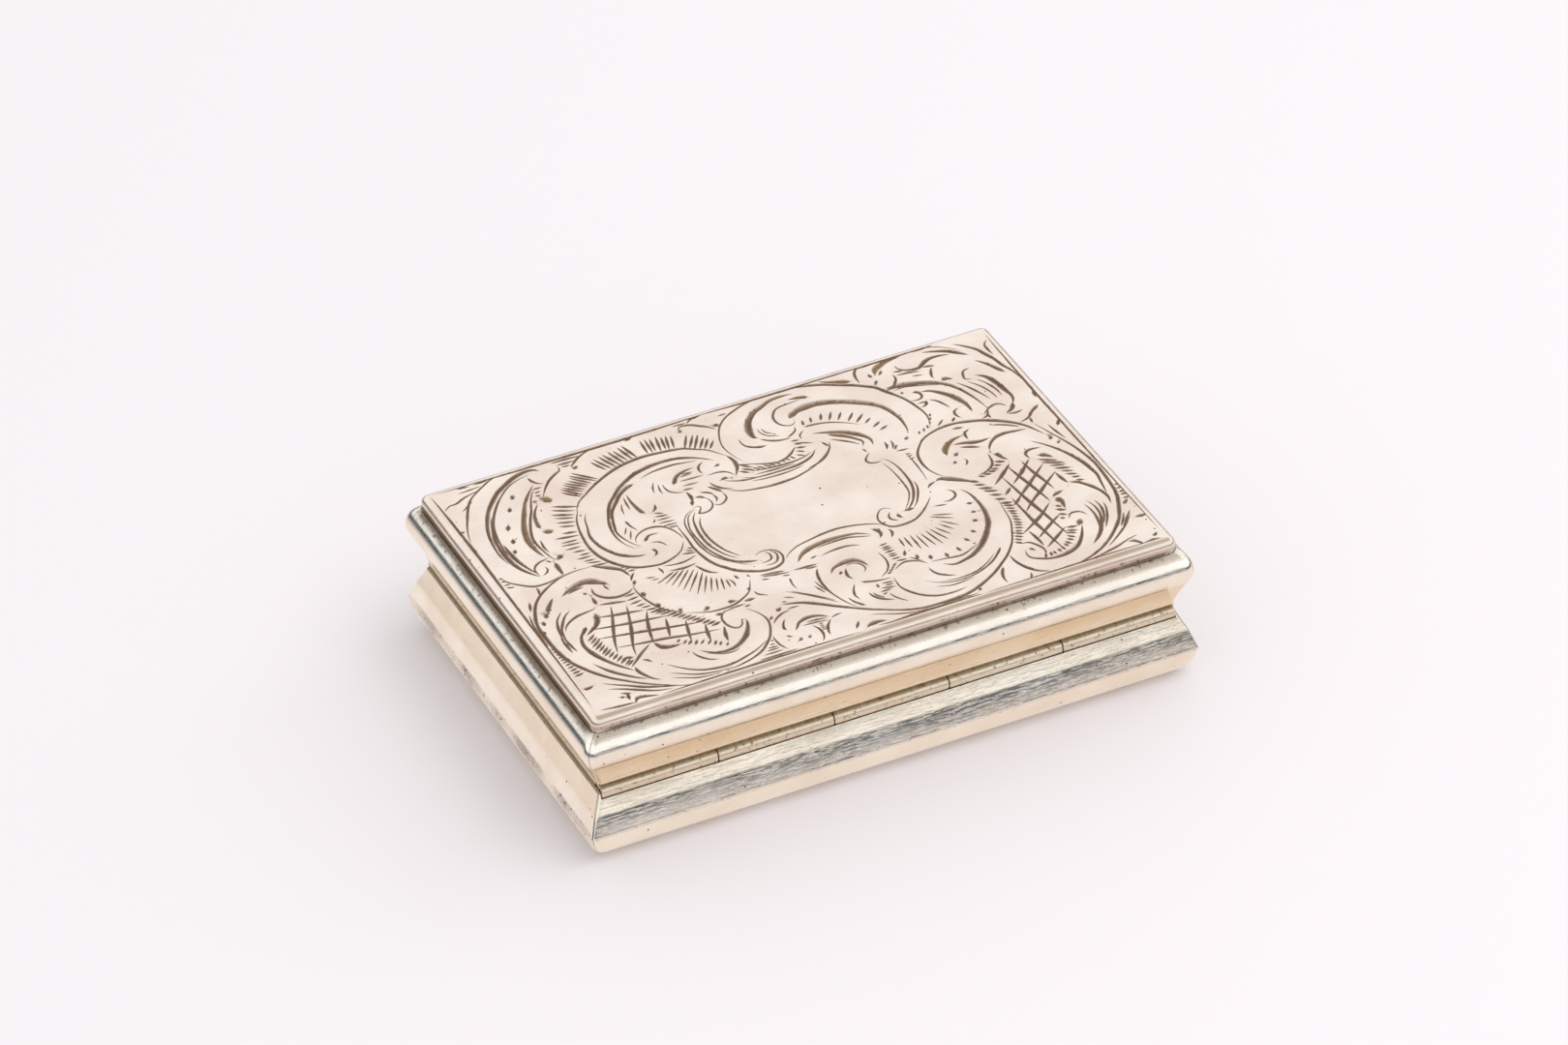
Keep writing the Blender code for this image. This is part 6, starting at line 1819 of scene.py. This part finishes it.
@dataclass
class Thumbpiece:
    """The lobed lip that opens the lid, chased with rays like a small shell."""

    silver: bpy.types.Material
    lobes: int = 3
    scallop: float = 0.07
    rings: int = 16
    steps: int = 120
    rays: int = 19
    ray_depth: float = 0.055
    ray_dirt: float = 0.25
    dome: Point = (0.72, 0.28)
    lip_from: float = 0.85
    lip_width: float = 0.15
    lip_drop: float = 0.16

    def make(self) -> None:
        """Makes the lip over its node in the frame."""
        low, high = (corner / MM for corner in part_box("thumbpiece"))
        half_width, reach, thickness = (high.x - low.x) / 2, high.y - low.y, high.z - low.z
        build = bmesh.new()
        tarnish = build.verts.layers.float.new("tarnish")
        rows = []
        for ring in range(self.rings + 1):
            share = ring / self.rings
            row = []
            for step in range(self.steps + 1):
                angle = math.pi * step / self.steps
                lobe = 1 - self.scallop * (1 + math.cos(2 * self.lobes * angle)) * share**2
                flute = 0.5 - 0.5 * math.cos(2 * self.rays * angle)
                begun = min(1.0, 4 * share)
                cut = self.ray_depth * flute * begun * (1 - share**6)
                # The shell is domed, and drops a little faster over its outer lip.
                edge, crown = self.dome
                rise = thickness * (edge + crown * math.cos(share * math.pi / 2)) - cut
                rise -= self.lip_drop * max(0.0, share - self.lip_from) / self.lip_width * thickness
                x = half_width * share * lobe * math.cos(angle)
                y = high.y - reach * share * lobe * math.sin(angle)
                vertex = build.verts.new((x, y, low.z + rise))
                vertex[tarnish] = self.ray_dirt * flute * begun * (share < 0.9)
                row.append(vertex)
            rows.append(row)
        for inner, outer in zip(rows, rows[1:]):
            for corners in zip(inner, inner[1:], outer[1:], outer):
                build.faces.new(corners)
        bmesh.ops.remove_doubles(build, verts=rows[0], dist=1e-5)
        rim = [edge for edge in build.edges if edge.is_boundary]
        grown = bmesh.ops.extrude_edge_only(build, edges=rim)["geom"]
        for item in grown:
            if isinstance(item, bmesh.types.BMVert):
                item.co.z = low.z
        bmesh.ops.edgeloop_fill(build, edges=rim_of(grown))
        bmesh.ops.recalc_face_normals(build, faces=build.faces)
        piece = finish_piece("chased_thumbpiece", build, self.silver)
        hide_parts("thumbpiece")
        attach(piece, "lid")


@dataclass
class SpongeBlock:
    """The trimmed piece of natural sponge, uneven and rounded at its edges."""

    finish: bpy.types.Material
    pitch: float = 0.2
    rounding: float = 0.7
    pore_depth: float = 0.34
    nap_depth: float = 0.1
    swell_depth: float = 0.12
    deepest: float = 0.4

    def make(self) -> None:
        """Makes the sponge over its node in the frame."""
        low, high = (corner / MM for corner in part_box("sponge"))
        middle, half = (low + high) / 2, (high - low) / 2
        build = bmesh.new()
        bmesh.ops.create_cube(build, size=2.0)
        for axis, length in enumerate(half):
            spans = [(edge, edge.verts[0].co - edge.verts[1].co) for edge in build.edges]
            along = [edge for edge, span in spans if abs(span[axis]) > 1.9]
            cuts = max(2, round(2 * length / self.pitch))
            bmesh.ops.subdivide_edges(build, edges=along, cuts=cuts, use_grid_fill=True)
        for vertex in build.verts:
            place = Vector([share * length for share, length in zip(vertex.co, half)])
            core = half - Vector((1, 1, 1)) * self.rounding
            nearest = Vector([clamp(value, -limit, limit) for value, limit in zip(place, core)])
            away = place - nearest
            out = away.normalized() if away.length > 1e-6 else Vector((0, 0, 1))
            round_place = nearest + out * min(away.length, self.rounding)
            sink = self.pore_depth * max(0.0, 0.55 - noise.voronoi(round_place * 1.6)[0][0])
            sink += self.nap_depth * abs(noise.noise(round_place * 4))
            sink += self.swell_depth * (0.5 - 0.5 * noise.noise(round_place * 0.35))
            vertex.co = middle + round_place - out * min(self.deepest, sink)
        bmesh.ops.recalc_face_normals(build, faces=build.faces)
        piece = finish_piece("sponge_block", build, self.finish, sharp_degrees=180.0)
        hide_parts("sponge")
        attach(piece, "base")


@dataclass
class Studio:
    """The pale table, the soft light and the camera at the photograph's angle."""

    floor_colour: str = "#EBE6E9"
    near_board: str = "#FBEEE3"
    far_board: str = "#566064"
    even_share: float = 0.75
    backdrop: str = "#E8E5E8"
    fill: float = 0.8
    strength: float = 1.14
    lens: float = 183.8
    camera_place: tuple[float, float, float] = (149.38, 338.93, 275.37)
    azimuth: float = 156.318
    elevation: float = 35.723
    roll: float = -2.738

    @staticmethod
    def metal_sees(tree: bpy.types.NodeTree) -> Any:
        """Gives a socket that is 1 for what a reflection or a clear material shows."""
        rays = add(tree, "LightPath").outputs
        seen = {0: rays["Is Glossy Ray"], 1: rays["Is Transmission Ray"]}
        return add(tree, "Math", seen, operation="MAXIMUM").outputs[0]

    def floor(self) -> None:
        """Lays the table top."""
        material, tree, shader = start_material("matt white board")
        shader.inputs["Base Color"].default_value = linear(self.floor_colour)
        shader.inputs["Roughness"].default_value = 0.6
        # In the metal the board is lit evenly near the box and falls into the dark further off.
        metal = self.metal_sees(tree)
        share = add(tree, "Math", {0: metal, 1: self.even_share}, operation="MULTIPLY").outputs[0]
        place = add(tree, "TexCoord").outputs["Object"]
        aside = add(tree, "Mapping", {"Vector": place, "Location": (0.012, 0.0, 0.0)}).outputs[0]
        away = add(tree, "VectorMath", {0: aside}, operation="LENGTH").outputs["Value"]
        table = add_ramp(tree, away, ((0.05, self.near_board), (0.12, self.far_board)))
        even = add(tree, "Emission", {"Color": table}).outputs[0]
        mixed = add(tree, "MixShader", {0: share, 1: shader.outputs[0], 2: even}).outputs[0]
        tree.links.new(mixed, tree.nodes["Material Output"].inputs["Surface"])
        build = bmesh.new()
        bmesh.ops.create_grid(build, x_segments=1, y_segments=1, size=600)
        board = finish_piece("table top", build, material)
        board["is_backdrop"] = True

    def camera(self) -> None:
        """Sets the camera from its place, its angles and its roll."""
        azimuth, elevation = math.radians(self.azimuth), math.radians(self.elevation)
        back = Vector(
            (
                math.sin(azimuth) * math.cos(elevation),
                -math.cos(azimuth) * math.cos(elevation),
                math.sin(elevation),
            )
        )
        right = Vector((math.cos(azimuth), math.sin(azimuth), 0))
        up = back.cross(right)
        roll = math.radians(self.roll)
        rolled_right = right * math.cos(roll) + up * math.sin(roll)
        rolled_up = back.cross(rolled_right)
        data = bpy.data.cameras.new("camera")
        data.lens = self.lens
        data.clip_start = 0.01
        camera = bpy.data.objects.new("camera", data)
        bpy.context.scene.collection.objects.link(camera)
        turn = Matrix((rolled_right, rolled_up, back)).transposed().to_4x4()
        camera.matrix_world = Matrix.Translation(Vector(self.camera_place) * MM) @ turn
        bpy.context.scene.camera = camera

    def light(self) -> None:
        """Hangs the soft boxes."""
        for name, place, size, power in (
            ("key box", (-150, 170, 420), 380, 0.7),
            ("side box", (-420, -60, 230), 260, 0.2),
        ):
            data = bpy.data.lights.new(name, "AREA")
            data.size = size * MM
            data.energy = power
            lamp = bpy.data.objects.new(name, data)
            lamp.visible_camera = False
            lamp.visible_glossy = False
            bpy.context.scene.collection.objects.link(lamp)
            spot = Vector(place) * MM
            turn = spot.to_track_quat("Z", "Y").to_matrix().to_4x4()
            lamp.matrix_world = Matrix.Translation(spot) @ turn

    def room(self) -> None:
        """Sets the world: a pale backdrop, which the metal sees as a white room with a dark low band."""
        world = bpy.data.worlds.new("studio")
        bpy.context.scene.world = world
        world.use_nodes = True
        tree = world.node_tree
        sky = tree.nodes["Background"]
        way = add(tree, "TexCoord").outputs["Generated"]
        parts = add(tree, "SeparateXYZ", {0: way}).outputs
        # The band stands higher towards +X.
        right = add(tree, "Math", {0: parts[0], 1: 0.0}, operation="MAXIMUM").outputs[0]
        spread = add(tree, "Math", {0: right, 1: 0.9, 2: 1.0}, operation="MULTIPLY_ADD").outputs[0]
        height = add(tree, "Math", {0: parts[2], 1: spread}, operation="DIVIDE").outputs[0]
        band = add_ramp(
            tree,
            height,
            (
                (0.0, "#39434A"),
                (0.1, "#434C4E"),
                (0.125, "#A0A5A3"),
                (0.155, "#FFFFFF"),
                (0.68, "#FFFFFF"),
                (0.8, "#CBC5BA"),
                (0.97, "#B7AFA2"),
            ),
        )
        even = (self.fill, self.fill, self.fill, 1.0)
        metal = self.metal_sees(tree)
        seen = add(tree, "Mix", {0: metal, 6: even, 7: band}, data_type="RGBA").outputs[2]
        camera = add(tree, "LightPath").outputs["Is Camera Ray"]
        shown = add(tree, "Mix", {0: camera, 6: seen, 7: linear(self.backdrop)}, data_type="RGBA")
        tree.links.new(shown.outputs[2], sky.inputs["Color"])
        sky.inputs["Strength"].default_value = self.strength
        bpy.context.scene.view_settings.view_transform = "Standard"

    def make(self) -> None:
        """Sets the whole studio."""
        self.floor()
        self.camera()
        self.light()
        self.room()


def main() -> None:
    """Dresses the box and sets the studio."""
    logging.basicConfig(level=logging.INFO, format="%(name)s: %(message)s")
    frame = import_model()
    low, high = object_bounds()
    box = Box(high[0] / MM, high[1] / MM)
    hinge = HingeLine()
    silver = OldSilver().make()
    engraved = OldSilver(
        name="old engraved silver",
        metal="#F0E4DA",
        dull="#E4D3C8",
        tarnish="#6B5039",
        gilding="#8C6E4A",
        roughness=0.2,
        scratch_gap=0.09,
    ).make()
    gilt = OldSilver("worn silver gilt", "#EBCB91", "#DDB877", "#7A5A2B", roughness=0.16).make()
    steel = PlainMetal("drawn steel wire", "#9A948C", "#6B645B", 0.4).make()
    sponge = NaturalSponge().make()
    for name, node in frame["nodes"].items():
        finish = silver
        if name.startswith(("rim", "grille", "base_knuckle", "lid_knuckle")):
            finish = gilt
        if name.endswith("_pin"):
            finish = steel
        if name == "sponge":
            finish = sponge
        node.data.materials.clear()
        node.data.materials.append(finish)
    # The tube's ends are closed by the base and show in the lid.
    blind = hinge.channel(box, hinge.tube_reach + hinge.end_gap)
    through = hinge.channel(box, box.half_length + 1)
    BaseCase(box, silver).make(blind)
    LidCase(box, silver).make(through)
    bpy.data.objects.remove(blind)
    bpy.data.objects.remove(through)
    EngravedPlate(box, engraved, gilt).make()
    Knuckles(box, hinge, silver).make()
    Thumbpiece(silver).make()
    SpongeBlock(sponge).make()
    eased = Eased(frame["nodes"])
    for name, body, finish, slot, ease in (
        ("base_floor", "base", silver, "silver", 0.06),
        ("base_hinge_bearer", "base", silver, "silver", 0.05),
        ("lid_hinge_bearer", "lid", silver, "silver", 0.05),
        ("hinge_pin", "base", steel, "steel_wire", 0.03),
        ("rim_front", "base", gilt, "gilt", 0.07),
        ("rim_right", "base", gilt, "gilt", 0.07),
        ("rim_left", "base", gilt, "gilt", 0.07),
        ("rim_back", "base", gilt, "gilt", 0.07),
        ("grille", "grille", gilt, "gilt", 0.03),
        ("grille_tab", "grille", gilt, "gilt", 0.04),
        ("grille_knuckle", "grille", gilt, "gilt", 0.03),
        ("grille_lug_left", "base", gilt, "gilt", 0.03),
        ("grille_lug_right", "base", gilt, "gilt", 0.03),
        ("grille_pin", "base", steel, "steel_wire", 0.02),
    ):
        eased.make(name, body, finish, slot, ease)
    Studio().make()


if __name__ == "__main__":
    main()
